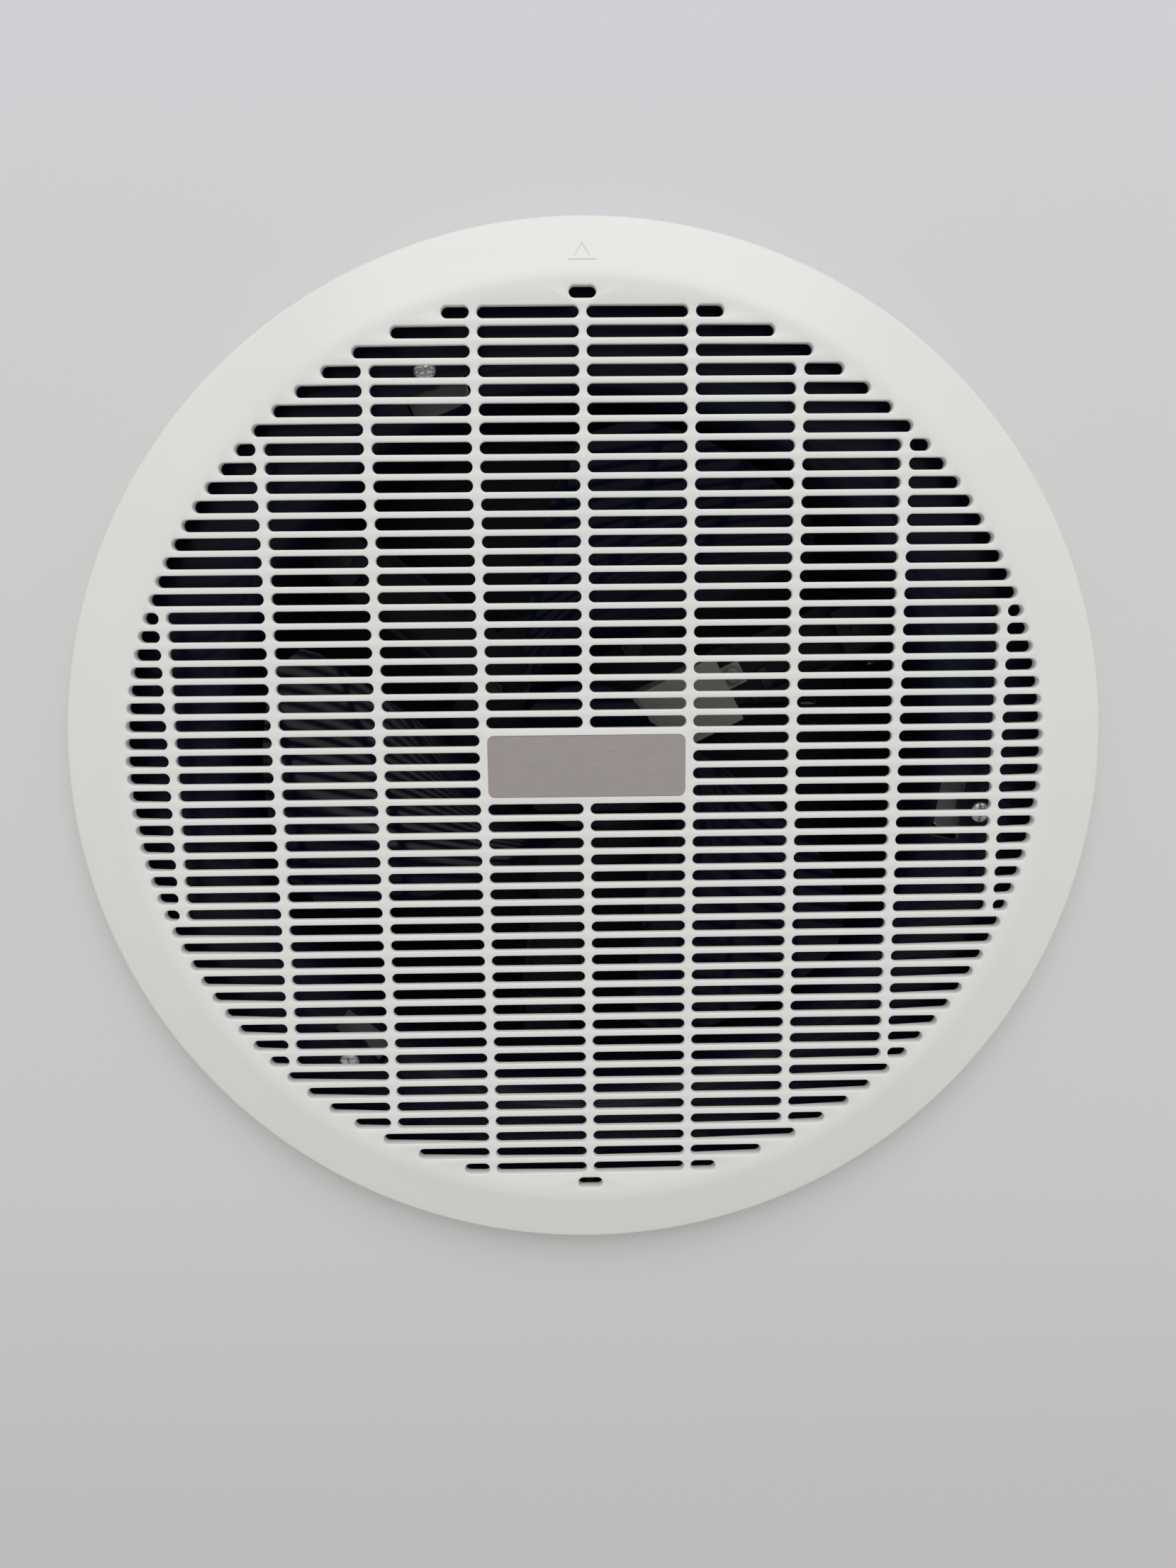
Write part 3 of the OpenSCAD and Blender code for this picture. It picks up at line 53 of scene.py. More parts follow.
# The slotted field. Behind its outer part the plate thickens from SLOPE_R to FIELD_R.
FIELD_R = 155.7
SLOPE_R = FIELD_R - 13.0
PLATE_R = FIELD_R + 0.7
ROW_PITCH = 6.0
COL_PITCH = 35.0
BAR_W = 2.4
SLOT_H = 4.0
SLOT_LIP = 0.4
MIN_SLOT = 5.0
HALF_ROWS = 25
PLATE_ROWS = 2
LATCH_R = 153.0
RELEASE_W = 8.8

# The nameplate's recess
RECESS_W = 67.2
RECESS_H = 21.4
RECESS_DEPTH = 0.5
RECESS_CORNER = 2.2

# What stands behind the fascia: ribs, centring ring, the clips' pads and the seats
RIB_T = 1.8
RIB_DEPTH = 2.5
RIB_SUNK = 0.3
RING_IN, RING_OUT = 169.4, 170.9
RING_TOP = -1.0
PAD_IN, PAD_OUT = 159.4, 166.4
PAD_HALF_W = 4.0
PAD_TOP = -10.37
SEAT_AT = 162.35
SEAT_R = 3.0
SEAT_TOP = -2.8
SEATS = 6
BORDER_SUNK = 1.0

# The raised triangle on the border
MARK_BASE_Y, MARK_MID_Y, MARK_TIP_Y = -162.9, -165.437, -170.5
MARK_INNER = 0.566
MARK_PROUD = 0.25
MARK_SUNK = 0.2

# The clamp screws, in millimetres and degrees
CLAMP_R = 141.0
CLAMP_AZ = 8.3

# The ceiling ends just inside the rim of the flange, whose radius is 169
CEILING_IN, CEILING_OUT = 168.4, 4000.0
CEILING_Z = 0.05

# How finely round shapes are divided
FASCIA_STEPS = 256
SLOT_STEPS = 22
CORNER_STEPS = 6
SEAT_STEPS = 24
CEILING_STEPS = 160
# A lathe's innermost radius where it meets its axis. The points there are merged into one.
AXIS_R = 0.001


# Meshes

def put(name, data):
    """An object in the scene, at the origin."""
    obj = bpy.data.objects.new(name, data)
    scene.collection.objects.link(obj)
    return obj


def mesh_object(name, verts, faces):
    """A mesh object from points in millimetres."""
    mesh = bpy.data.meshes.new(name)
    mesh.from_pydata([[c * MM for c in v] for v in verts], [], faces)
    mesh.validate()
    return put(name, mesh)


def lathe(profile, steps, closed=False, centre=(0.0, 0.0)):
    """Points and faces of a profile of (radius, height) turned about an axis parallel to Z."""
    n = len(profile)
    verts = []
    faces = []
    for i in range(steps):
        a = 2 * math.pi * i / steps
        for r, z in profile:
            verts.append((centre[0] + r * math.cos(a), centre[1] + r * math.sin(a), z))
    for i in range(steps):
        j = (i + 1) % steps
        for k in range(n if closed else n - 1):
            m = (k + 1) % n
            faces.append((i * n + k, j * n + k, j * n + m, i * n + m))
    return verts, faces


def block(lo, hi, soft=0.2):
    """Points and faces of a box whose edges are rounded."""
    bm = bmesh.new()
    bmesh.ops.create_cube(bm, size=1.0)
    for v in bm.verts:
        v.co = Vector([lo[i] + (v.co[i] + 0.5) * (hi[i] - lo[i]) for i in range(3)])
    bmesh.ops.bevel(bm, geom=bm.edges[:], offset=soft, segments=2, affect="EDGES", profile=0.5)
    bm.verts.index_update()
    verts = [tuple(v.co) for v in bm.verts]
    faces = [tuple(v.index for v in f.verts) for f in bm.faces]
    bm.free()
    return verts, faces


def gather(parts):
    """One list of points and one of faces from several."""
    verts = []
    faces = []
    for part_verts, part_faces in parts:
        base = len(verts)
        verts += part_verts
        faces += [tuple(base + i for i in f) for f in part_faces]
    return verts, faces


def seal(obj, dist=0.004, outward=True):
    """Merges points that meet, and turns the faces outwards where asked."""
    bm = bmesh.new()
    bm.from_mesh(obj.data)
    bmesh.ops.remove_doubles(bm, verts=bm.verts, dist=dist * MM)
    if outward:
        bmesh.ops.recalc_face_normals(bm, faces=bm.faces)
    bm.to_mesh(obj.data)
    bm.free()


def shade_smooth(obj, degrees):
    """Smooth shading, with edges kept crisp past an angle."""
    bm = bmesh.new()
    bm.from_mesh(obj.data)
    limit = math.radians(degrees)
    for f in bm.faces:
        f.smooth = True
    for e in bm.edges:
        e.smooth = len(e.link_faces) != 2 or e.calc_face_angle(0.0) < limit
    bm.to_mesh(obj.data)
    bm.free()


def joined(name, objs):
    """Several mesh objects made into one."""
    bm = bmesh.new()
    for o in objs:
        bm.from_mesh(o.data)
    mesh = bpy.data.meshes.new(name)
    bm.to_mesh(mesh)
    bm.free()
    for o in objs:
        bpy.data.objects.remove(o)
    return put(name, mesh)


def dress(obj, material):
    obj.data.materials.clear()
    obj.data.materials.append(material)


# Node trees

class Tree:
    """A short way to write a node tree. An input is given a number, a colour or another node's output."""

    def __init__(self, tree):
        self.tree = tree

    def take(self, name, kind, value=None):
        socket = self.tree.interface.new_socket(name=name, in_out="INPUT", socket_type=kind)
        if value is not None:
            socket.default_value = value

    def give(self, name, kind):
        self.tree.interface.new_socket(name=name, in_out="OUTPUT", socket_type=kind)

    def fill(self, node, ins):
        for key, value in ins.items():
            if isinstance(value, bpy.types.NodeSocket):
                self.tree.links.new(value, node.inputs[key])
            else:
                node.inputs[key].default_value = value

    def add(self, kind, ins=None, **props):
        node = self.tree.nodes.new(kind)
        for key, value in props.items():
            setattr(node, key, value)
        self.fill(node, ins or {})
        return node

    def maths(self, operation, a, b, **props):
        return self.add("ShaderNodeMath", {0: a, 1: b}, operation=operation, **props).outputs[0]

    def remap(self, value, low, high, new_low=0.0, new_high=1.0):
        return self.add("ShaderNodeMapRange", {"Value": value, "From Min": low, "From Max": high,
                                               "To Min": new_low, "To Max": new_high}).outputs[0]

    def noise(self, place, scale, detail, rough=0.5):
        return self.add("ShaderNodeTexNoise", {"Vector": place, "Scale": scale, "Detail": detail,
                                               "Roughness": rough}).outputs[0]

    def blend(self, share, a, b):
        return self.add("ShaderNodeMix", {0: share, 6: a, 7: b}, data_type="RGBA").outputs[2]

    def bump(self, height, strength, distance):
        return self.add("ShaderNodeBump", {"Height": height, "Strength": strength,
                                           "Distance": distance}).outputs[0]


def new_tree(name, kind):
    return Tree(bpy.data.node_groups.new(name, kind))


def run_tree(name, obj, tree, values):
    """Runs a geometry tree on an object, and returns an object with the plain mesh that it makes."""
    mod = obj.modifiers.new("tree", "NODES")
    mod.node_group = tree
    for item in tree.interface.items_tree:
        if item.item_type == "SOCKET" and item.in_out == "INPUT" and item.name in values:
            mod[item.identifier] = values[item.name]
    dg = bpy.context.evaluated_depsgraph_get()
    dg.update()
    mesh = bpy.data.meshes.new_from_object(obj.evaluated_get(dg), depsgraph=dg)
    mesh.name = name
    obj.modifiers.remove(mod)
    bpy.data.objects.remove(obj)
    return put(name, mesh)


def smoothing_tree():
    """Welds a node's loose triangles and shades them smooth up to an angle."""
    t = new_tree("smooth_faces", "GeometryNodeTree")
    t.take("Geometry", "NodeSocketGeometry")
    t.take("Angle", "NodeSocketFloat", math.radians(34))
    t.give("Geometry", "NodeSocketGeometry")
    g = t.add("NodeGroupInput").outputs
    weld = t.add("GeometryNodeMergeByDistance", {"Geometry": g["Geometry"], "Distance": 0.003 * MM})
    smooth = t.add("GeometryNodeSetShadeSmooth", {"Geometry": weld.outputs[0], "Shade Smooth": True},
                   domain="FACE")
    angle = t.add("GeometryNodeInputMeshEdgeAngle").outputs[0]
    steep = t.add("FunctionNodeCompare", {0: angle, 1: g["Angle"]}, data_type="FLOAT",
                  operation="GREATER_THAN")
    crisp = t.add("GeometryNodeSetShadeSmooth",
                  {"Geometry": smooth.outputs[0], "Selection": steep.outputs[0], "Shade Smooth": False},
                  domain="EDGE")
    t.add("NodeGroupOutput", {0: crisp.outputs[0]})
    return t.tree


def slot_tree():
    """Cuts round-ended slots with soft lips through a round plate that has a recess in its face. The points
    carry half of each slot's straight length."""
    t = new_tree("slotted_plate", "GeometryNodeTree")
    t.take("Geometry", "NodeSocketGeometry")
    t.take("Slot Height", "NodeSocketFloat", 0.004)
    t.take("Lip", "NodeSocketFloat", 0.0004)
    t.take("Front", "NodeSocketFloat", -0.016)
    t.take("Thickness", "NodeSocketFloat", 0.002)
    t.take("Plate Radius", "NodeSocketFloat", 0.161)
    t.take("Plate Points", "NodeSocketInt", 256)
    t.take("Slot Points", "NodeSocketInt", 22)
    t.take("Recess Width", "NodeSocketFloat", 0.0672)
    t.take("Recess Height", "NodeSocketFloat", 0.0214)
    t.take("Recess Corner", "NodeSocketFloat", 0.0022)
    t.take("Corner Points", "NodeSocketInt", 6)
    t.take("Border Thickness", "NodeSocketFloat", 0.0022)
    t.take("Slope Start", "NodeSocketFloat", 0.1427)
    t.take("Slope End", "NodeSocketFloat", 0.1557)
    t.take("Material", "NodeSocketMaterial")
    t.give("Geometry", "NodeSocketGeometry")
    g = t.add("NodeGroupInput").outputs

    def join(pieces):
        node = t.add("GeometryNodeJoinGeometry")
        for piece in pieces:
            t.fill(node, {0: piece})
        return node.outputs[0]

    def sided(geometry):
        """Marks each point as left or right of the slot's middle."""
        x = t.add("ShaderNodeSeparateXYZ", {0: t.add("GeometryNodeInputPosition").outputs[0]}).outputs[0]
        return t.add("GeometryNodeStoreNamedAttribute",
                     {"Geometry": geometry, "Name": "side", "Value": t.maths("SIGN", x, 0.0)},
                     data_type="FLOAT", domain="POINT").outputs[0]

    def attribute(name):
        return t.add("GeometryNodeInputNamedAttribute", {"Name": name}, data_type="FLOAT").outputs[0]

    def spread(template):
        """A copy of the template at every slot, pulled out to the slot's length."""
        copies = t.add("GeometryNodeInstanceOnPoints", {"Points": g["Geometry"], "Instance": sided(template)})
        real = t.add("GeometryNodeRealizeInstances", {"Geometry": copies.outputs[0]})
        pull = t.add("ShaderNodeCombineXYZ", {0: t.maths("MULTIPLY", attribute("side"), attribute("reach"))})
        return t.add("GeometryNodeSetPosition",
                     {"Geometry": real.outputs[0], "Offset": pull.outputs[0]}).outputs[0]

    def lifted(geometry, z):
        by = t.add("ShaderNodeCombineXYZ", {2: z}).outputs[0]
        return t.add("GeometryNodeTransform", {"Geometry": geometry, "Translation": by}).outputs[0]

    def cone(low_r, high_r, depth, z):
        c = t.add("GeometryNodeMeshCone", {"Vertices": g["Slot Points"], "Side Segments": 1,
                                           "Radius Top": high_r, "Radius Bottom": low_r, "Depth": depth},
                  fill_type="NONE")
        return lifted(c.outputs[0], z)

    def ring(radius, points):
        return t.add("GeometryNodeCurvePrimitiveCircle", {"Resolution": points, "Radius": radius}).outputs[0]

    # The lip narrows in two steps, the flatter one in front
    half = t.maths("MULTIPLY", g["Slot Height"], 0.5)
    step = t.maths("MULTIPLY", g["Lip"], 0.3)
    wide = t.maths("ADD", half, g["Lip"])
    mid_r = t.maths("ADD", half, step)
    mid_z = t.maths("ADD", g["Front"], step)
    lip_z = t.maths("ADD", g["Front"], g["Lip"])
    lips = join((cone(wide, mid_r, step, g["Front"]),
                 cone(mid_r, half, t.maths("SUBTRACT", g["Lip"], step), mid_z),
                 cone(half, half, t.maths("SUBTRACT", g["Thickness"], g["Lip"]), lip_z)))
    walls = t.add("GeometryNodeFlipFaces", {"Mesh": spread(lips)}).outputs[0]

    outer = ring(g["Plate Radius"], g["Plate Points"])
    quad = t.add("GeometryNodeCurvePrimitiveQuadrilateral",
                 {"Width": g["Recess Width"], "Height": g["Recess Height"]})
    recess_line = t.add("GeometryNodeFilletCurve", {"Curve": quad.outputs[0], "Radius": g["Recess Corner"],
                                                    "Count": g["Corner Points"]}, mode="POLY").outputs[0]

    def filled(slot_r, *holes):
        """The plate's outline filled, with the slots and other holes left open."""
        curves = join((spread(ring(slot_r, g["Slot Points"])), outer) + holes)
        return t.add("GeometryNodeFillCurve", {"Curve": curves}, mode="TRIANGLES").outputs[0]

    front = t.add("GeometryNodeFlipFaces", {"Mesh": lifted(filled(wide, recess_line), g["Front"])}).outputs[0]
    back = lifted(filled(half), t.maths("ADD", g["Front"], g["Thickness"]))
    plate = join((front, walls, back))

    # The back slopes away from the front towards the border, which is thicker
    place = t.add("GeometryNodeInputPosition").outputs[0]
    flat = t.add("ShaderNodeVectorMath", {0: place, 1: (1.0, 1.0, 0.0)}, operation="MULTIPLY").outputs[0]
    radius = t.add("ShaderNodeVectorMath", {0: flat}, operation="LENGTH").outputs["Value"]
    height = t.add("ShaderNodeSeparateXYZ", {0: place}).outputs[2]
    behind = t.maths("GREATER_THAN", height, t.maths("ADD", lip_z, 0.1 * MM))
    extra = t.remap(radius, g["Slope Start"], g["Slope End"], 0.0, g["Border Thickness"])
    lift = t.add("ShaderNodeCombineXYZ", {2: extra}).outputs[0]
    sloped = t.add("GeometryNodeSetPosition", {"Geometry": plate, "Selection": behind, "Offset": lift})
    weld = t.add("GeometryNodeMergeByDistance", {"Geometry": sloped.outputs[0], "Distance": 0.004 * MM})
    real = t.add("GeometryNodeRealizeInstances", {"Geometry": weld.outputs[0]})
    painted = t.add("GeometryNodeSetMaterial", {"Geometry": real.outputs[0], "Material": g["Material"]})
    t.add("NodeGroupOutput", {0: painted.outputs[0]})
    return t.tree


# What the surfaces are made of

def moulding_group():
    """Colour, roughness and normal of a moulded skin: fine grain, soft mottling and a little dust."""
    t = new_tree("moulded_skin", "ShaderNodeTree")
    t.take("Color", "NodeSocketColor", (0.5, 0.5, 0.5, 1))
    t.take("Dust Color", "NodeSocketColor", (0.3, 0.29, 0.27, 1))
    t.take("Dust", "NodeSocketFloat", 0.03)
    t.take("Grain Scale", "NodeSocketFloat", 900.0)
    t.take("Grain Height", "NodeSocketFloat", 0.05)
    t.take("Mottle", "NodeSocketFloat", 0.04)
    t.take("Roughness", "NodeSocketFloat", 0.3)
    t.take("Roughness Change", "NodeSocketFloat", 0.08)
    t.give("Color", "NodeSocketColor")
    t.give("Roughness", "NodeSocketFloat")
    t.give("Normal", "NodeSocketVector")
    g = t.add("NodeGroupInput").outputs
    place = t.add("ShaderNodeTexCoord").outputs["Object"]
    grain = t.noise(place, g["Grain Scale"], 3.0, 0.6)
    cloud = t.remap(t.noise(place, 22.0, 4.0, 0.55), 0.3, 0.7, -1.0, 1.0)
    fleck = t.remap(t.noise(place, 260.0, 5.0, 0.7), 0.56, 0.72)
    shade = t.maths("ADD", t.maths("MULTIPLY", cloud, g["Mottle"]), 1.0)
    tone = t.add("ShaderNodeVectorMath", {0: g["Color"], "Scale": shade}, operation="SCALE").outputs[0]
    dust = t.maths("MULTIPLY", fleck, g["Dust"])
    change = t.maths("MULTIPLY", cloud, g["Roughness Change"])
    rough = t.maths("ADD", change, g["Roughness"], use_clamp=True)
    t.add("NodeGroupOutput", {"Color": t.blend(dust, tone, g["Dust Color"]),
                              "Roughness": t.maths("ADD", rough, dust, use_clamp=True),
                              "Normal": t.bump(grain, g["Grain Height"], 0.2 * MM)})
    return t.tree


def metal_group():
    """Colour, roughness and normal of plated, brushed or turned metal."""
    t = new_tree("metal_skin", "ShaderNodeTree")
    t.take("Color", "NodeSocketColor", (0.6, 0.6, 0.6, 1))
    t.take("Stain", "NodeSocketColor", (0.35, 0.34, 0.32, 1))
    t.take("Stain Amount", "NodeSocketFloat", 0.15)
    t.take("Stretch", "NodeSocketVector", (1.0, 1.0, 1.0))
    t.take("Brush Scale", "NodeSocketFloat", 1500.0)
    t.take("Brush Height", "NodeSocketFloat", 0.12)
    t.take("Roughness", "NodeSocketFloat", 0.3)
    t.take("Roughness Change", "NodeSocketFloat", 0.1)
    t.give("Color", "NodeSocketColor")
    t.give("Roughness", "NodeSocketFloat")
    t.give("Normal", "NodeSocketVector")
    g = t.add("NodeGroupInput").outputs
    place = t.add("ShaderNodeTexCoord").outputs["Object"]
    pulled = t.add("ShaderNodeVectorMath", {0: place, 1: g["Stretch"]}, operation="MULTIPLY").outputs[0]
    brush = t.noise(pulled, g["Brush Scale"], 2.0)
    spots = t.remap(t.noise(place, 120.0, 5.0, 0.6), 0.42, 0.7)
    stain = t.maths("MULTIPLY", spots, g["Stain Amount"])
    change = t.maths("MULTIPLY", t.remap(brush, 0.3, 0.7, -1.0, 1.0), g["Roughness Change"])
    t.add("NodeGroupOutput", {"Color": t.blend(stain, g["Color"], g["Stain"]),
                              "Roughness": t.maths("ADD", change, g["Roughness"], use_clamp=True),
                              "Normal": t.bump(brush, g["Brush Height"], 0.1 * MM)})
    return t.tree


def thread_group():
    """Height of a screw thread round an axis parallel to Z, with a painted shade for the bottoms of its
    grooves, and nothing below the start of the thread.
    """
    t = new_tree("screw_thread", "ShaderNodeTree")
    t.take("Axis", "NodeSocketVector", (0.0, 0.0, 0.0))
    t.take("Pitch", "NodeSocketFloat", 0.0014)
    t.take("Start", "NodeSocketFloat", -0.002)
    t.give("Height", "NodeSocketFloat")
    t.give("Painted Groove Shade", "NodeSocketFloat")
    g = t.add("NodeGroupInput").outputs
    place = t.add("ShaderNodeTexCoord").outputs["Object"]
    off = t.add("ShaderNodeVectorMath", {0: place, 1: g["Axis"]}, operation="SUBTRACT").outputs[0]
    x, y, z = t.add("ShaderNodeSeparateXYZ", {0: off}).outputs
    turn = t.maths("DIVIDE", t.maths("ARCTAN2", y, x), 2 * math.pi)
    phase = t.maths("SUBTRACT", t.maths("DIVIDE", z, g["Pitch"]), turn)
    wave = t.maths("PINGPONG", phase, 0.5)
    threaded = t.maths("GREATER_THAN", z, g["Start"])
    # Painted shade: full at the bottom of each groove, fading out up its flanks
    low = t.remap(wave, 0.0, 0.22, 1.0, 0.0)
    t.add("NodeGroupOutput", {"Height": t.maths("MULTIPLY", wave, threaded),
                              "Painted Groove Shade": t.maths("MULTIPLY", low, threaded)})
    return t.tree


MOULDING = moulding_group()
METAL = metal_group()
THREAD = thread_group()


def skinned(name, group, values, sockets):
    """A material that takes colour, roughness and normal from a group. Plain numbers go on the shader."""
    m = bpy.data.materials.new(name)
    m.use_nodes = True
    t = Tree(m.node_tree)
    skin = t.add("ShaderNodeGroup", values, node_tree=group).outputs
    t.fill(m.node_tree.nodes["Principled BSDF"],
           {"Base Color": skin["Color"], "Roughness": skin["Roughness"], "Normal": skin["Normal"], **sockets})
    m.diffuse_color = values["Color"]
    return m


def moulded(name, color, rough, grain=900.0, height=0.05, mottle=0.04, dust=0.03, gloss=0.5):
    return skinned(name, MOULDING, {
        "Color": (*color, 1), "Dust Color": (*[0.12 + 0.6 * c for c in color], 1), "Dust": dust,
        "Grain Scale": grain, "Grain Height": height, "Mottle": mottle,
        "Roughness": rough, "Roughness Change": rough * 0.2}, {"Specular IOR Level": gloss})


def metal(name, color, rough, stretch=(1, 1, 1), brush=1500.0, height=0.1, stain=0.15):
    return skinned(name, METAL, {
        "Color": (*color, 1), "Stain": (*[c * 0.6 for c in color], 1), "Stain Amount": stain,
        "Stretch": stretch, "Brush Scale": brush, "Brush Height": height,
        "Roughness": rough, "Roughness Change": rough * 0.3}, {"Metallic": 1.0})


def threaded_zinc(k):
    """Zinc for one clamp screw, with its thread turned about its own axis."""
    m = metal("zinc_screw_%d" % (k + 1), (0.56, 0.57, 0.58), 0.22, brush=900.0, height=0.06, stain=0.25)
    skin = [n for n in m.node_tree.nodes if n.type == "GROUP"][0].outputs
    az = math.radians(CLAMP_AZ + 120 * k)
    t = Tree(m.node_tree)
    axis = (CLAMP_R * MM * math.cos(az), CLAMP_R * MM * math.sin(az), 0)
    thread = t.add("ShaderNodeGroup", {"Axis": axis}, node_tree=THREAD).outputs
    bump = t.add("ShaderNodeBump", {"Height": thread["Height"], "Strength": 1.0, "Distance": 0.9 * MM,
                                    "Normal": skin["Normal"]})
    # Painted shade: the zinc darkens to a dark grey at the bottoms of the thread's grooves
    t.fill(m.node_tree.nodes["Principled BSDF"],
           {"Base Color": t.blend(thread["Painted Groove Shade"], skin["Color"], (0.25, 0.25, 0.26, 1)),
            "Normal": bump.outputs[0]})
    return m


WHITE = moulded("fascia_gloss_white", (0.815, 0.815, 0.795), 0.25, grain=700.0, height=0.02, mottle=0.012,
                dust=0.0, gloss=0.36)
BLACK_MOUTH = moulded("black_mouth", (0.005, 0.008, 0.018), 0.24, grain=600.0, mottle=0.2, dust=0.01,
                      gloss=0.13)
BLACK_BLADE = moulded("black_blade", (0.003, 0.0055, 0.014), 0.08, grain=500.0, height=0.02, mottle=0.1,
                      dust=0.01, gloss=0.10)
BLACK_DRUM = moulded("black_drum", (0.006, 0.009, 0.017), 0.42, grain=1100.0, height=0.3, mottle=0.15,
                     dust=0.02, gloss=0.2)
FLAP_BLACK = moulded("flap_black", (0.006, 0.009, 0.017), 0.35, height=0.1, mottle=0.12, gloss=0.2)
BOX_DARK = moulded("box_dark", (0.030, 0.031, 0.034), 0.48, grain=1400.0, height=0.45, mottle=0.1, dust=0.08)
DOG_GREY = moulded("dog_grey", (0.27, 0.28, 0.285), 0.42, grain=1000.0, height=0.12, mottle=0.06, dust=0.1)
# Painted shade: the capacitor's light grey case, and its screw, are given a darker grey that stands in for
# the dim light inside the housing
SHADED_CAP_GREY = moulded("capacitor_grey", (0.23, 0.23, 0.212), 0.38, grain=800.0, height=0.08, mottle=0.05,
                   dust=0.12)
BRACKET = moulded("bracket_black", (0.005, 0.0065, 0.011), 0.45, grain=420.0, height=0.4, mottle=0.1,
                  dust=0.02, gloss=0.15)
MOTOR_BLACK = moulded("motor_black", (0.006, 0.007, 0.011), 0.4, grain=520.0, height=0.25, mottle=0.12,
                      dust=0.02, gloss=0.15)
RUBBER = moulded("soft_rubber", (0.010, 0.010, 0.010), 0.75, grain=1600.0, height=0.4, mottle=0.15, dust=0.05,
                 gloss=0.25)
SHEATH = moulded("lead_sheath", (0.012, 0.012, 0.014), 0.5, grain=1300.0, height=0.2, mottle=0.1, gloss=0.25)
CORE_BROWN = moulded("core_brown", (0.17, 0.07, 0.025), 0.38, grain=1200.0, height=0.08)
TIE_BLACK = moulded("tie_black", (0.012, 0.012, 0.012), 0.4, height=0.1, mottle=0.06, gloss=0.25)
CREAM = moulded("terminal_cream", (0.62, 0.59, 0.50), 0.4, grain=1000.0, height=0.12, mottle=0.05)

SILVER_PLATE = metal("plate_silver", (0.53, 0.483, 0.478), 0.32, stretch=(0.05, 1.0, 1.0), brush=3000.0,
                     height=0.01, stain=0.0)
ZINC = metal("zinc_plate", (0.72, 0.73, 0.76), 0.27, brush=900.0, height=0.08, stain=0.3)
COVER_ZINC = metal("cover_zinc", (0.56, 0.57, 0.59), 0.36, brush=700.0, height=0.15, stain=0.35)
BLACK_STEEL = metal("black_steel", (0.035, 0.035, 0.037), 0.42, brush=900.0, stain=0.2)
SPRING_STEEL = metal("spring_steel", (0.60, 0.61, 0.62), 0.3, stretch=(1, 1, 0.08), brush=3000.0)
GROUND_STEEL = metal("ground_steel", (0.68, 0.69, 0.70), 0.2, stretch=(1, 1, 6.0), brush=1600.0, height=0.08,
                     stain=0.08)
SHEETS = metal("steel_sheets", (0.38, 0.39, 0.41), 0.42, stretch=(0.02, 0.02, 1.0), brush=2400.0, height=0.7,
               stain=0.3)
COPPER = metal("enamelled_copper", (0.70, 0.30, 0.12), 0.3, stretch=(0.1, 0.1, 1.0), brush=1800.0, height=0.8)
BRONZE = metal("sintered_bronze", (0.50, 0.34, 0.16), 0.5, brush=2600.0, height=0.5, stain=0.3)
BRASS = metal("plated_brass", (0.72, 0.55, 0.25), 0.26, brush=1400.0, stain=0.12)

# The finish of each node. Clamp dogs and clamp screws have their own, and what isn't named is zinc-plated.
FINISH = {
    "grille": WHITE, "nameplate": SILVER_PLATE, "grille_clips": SPRING_STEEL,
    "bell_mouth": BLACK_MOUTH, "drum": BLACK_DRUM, "drum_screws": BLACK_STEEL,
    "impeller": BLACK_BLADE, "impeller_nut": BLACK_STEEL, "impeller_washer": BLACK_STEEL,
    "drive_pin": GROUND_STEEL, "shaft": GROUND_STEEL, "bearing_front": BRONZE, "bearing_rear": BRONZE,
    "motor_bracket": BRACKET, "bracket_screws": BLACK_STEEL, "rubber_mounts": RUBBER,
    "mount_spacers": BLACK_STEEL, "motor_front_cover": MOTOR_BLACK, "motor_rear_cover": COVER_ZINC,
    "motor_bolts": BLACK_STEEL, "motor_nuts": BLACK_STEEL, "stator_core": SHEETS, "stator_winding": COPPER,
    "rotor": SHEETS, "capacitor": SHADED_CAP_GREY, "capacitor_screw": SHADED_CAP_GREY, "capacitor_leads": SHEATH,
    "motor_lead": SHEATH, "lead_cores": CORE_BROWN, "lead_ties": TIE_BLACK, "lead_grommet": RUBBER,
    "terminal_box": BOX_DARK, "terminal_cover": BOX_DARK, "terminal_block": CREAM, "terminal_screws": BRASS,
    "cable_gland": BOX_DARK, "gland_nut": BOX_DARK, "damper_frame": BLACK_DRUM, "damper_pin": GROUND_STEEL,
    "damper_flap_1": FLAP_BLACK, "damper_flap_2": FLAP_BLACK,
}

SMOOTH = smoothing_tree()
for name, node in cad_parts.items():
    if name.startswith("clamp_dog"):
        dress(node, DOG_GREY)
    elif name.startswith("clamp_screw"):
        dress(node, threaded_zinc(int(name[-1]) - 1))
    else:
        dress(node, FINISH.get(name, ZINC))
    if name != "grille":
        node.modifiers.new("smooth_faces", "NODES").node_group = SMOOTH


# The fascia

def row_end(y):
    """Where a row of slots ends at the edge of the round field."""
    return math.sqrt(FIELD_R ** 2 - (y + SLOT_H / 2) ** 2)


def last_bar(y):
    """The outermost upright bar in a row, counted from the middle one."""
    return math.floor((row_end(y) - BAR_W / 2 - MIN_SLOT) / COL_PITCH)


def slot_list():
    """Centre x, centre y and half of the straight length of every slot."""
    out = [(0.0, s * LATCH_R, (RELEASE_W - SLOT_H) / 2) for s in (-1, 1)]
    for i in range(HALF_ROWS):
        y = (i + 0.5) * ROW_PITCH
        last = last_bar(y)
        for k in range(1 if i < PLATE_ROWS else 0, last + 1):
            x0 = k * COL_PITCH + BAR_W / 2
            x1 = row_end(y) if k == last else (k + 1) * COL_PITCH - BAR_W / 2
            for sx in (-1, 1):
                for sy in (-1, 1):
                    out.append((sx * (x0 + x1) / 2, sy * y, (x1 - x0 - SLOT_H) / 2))
    return out


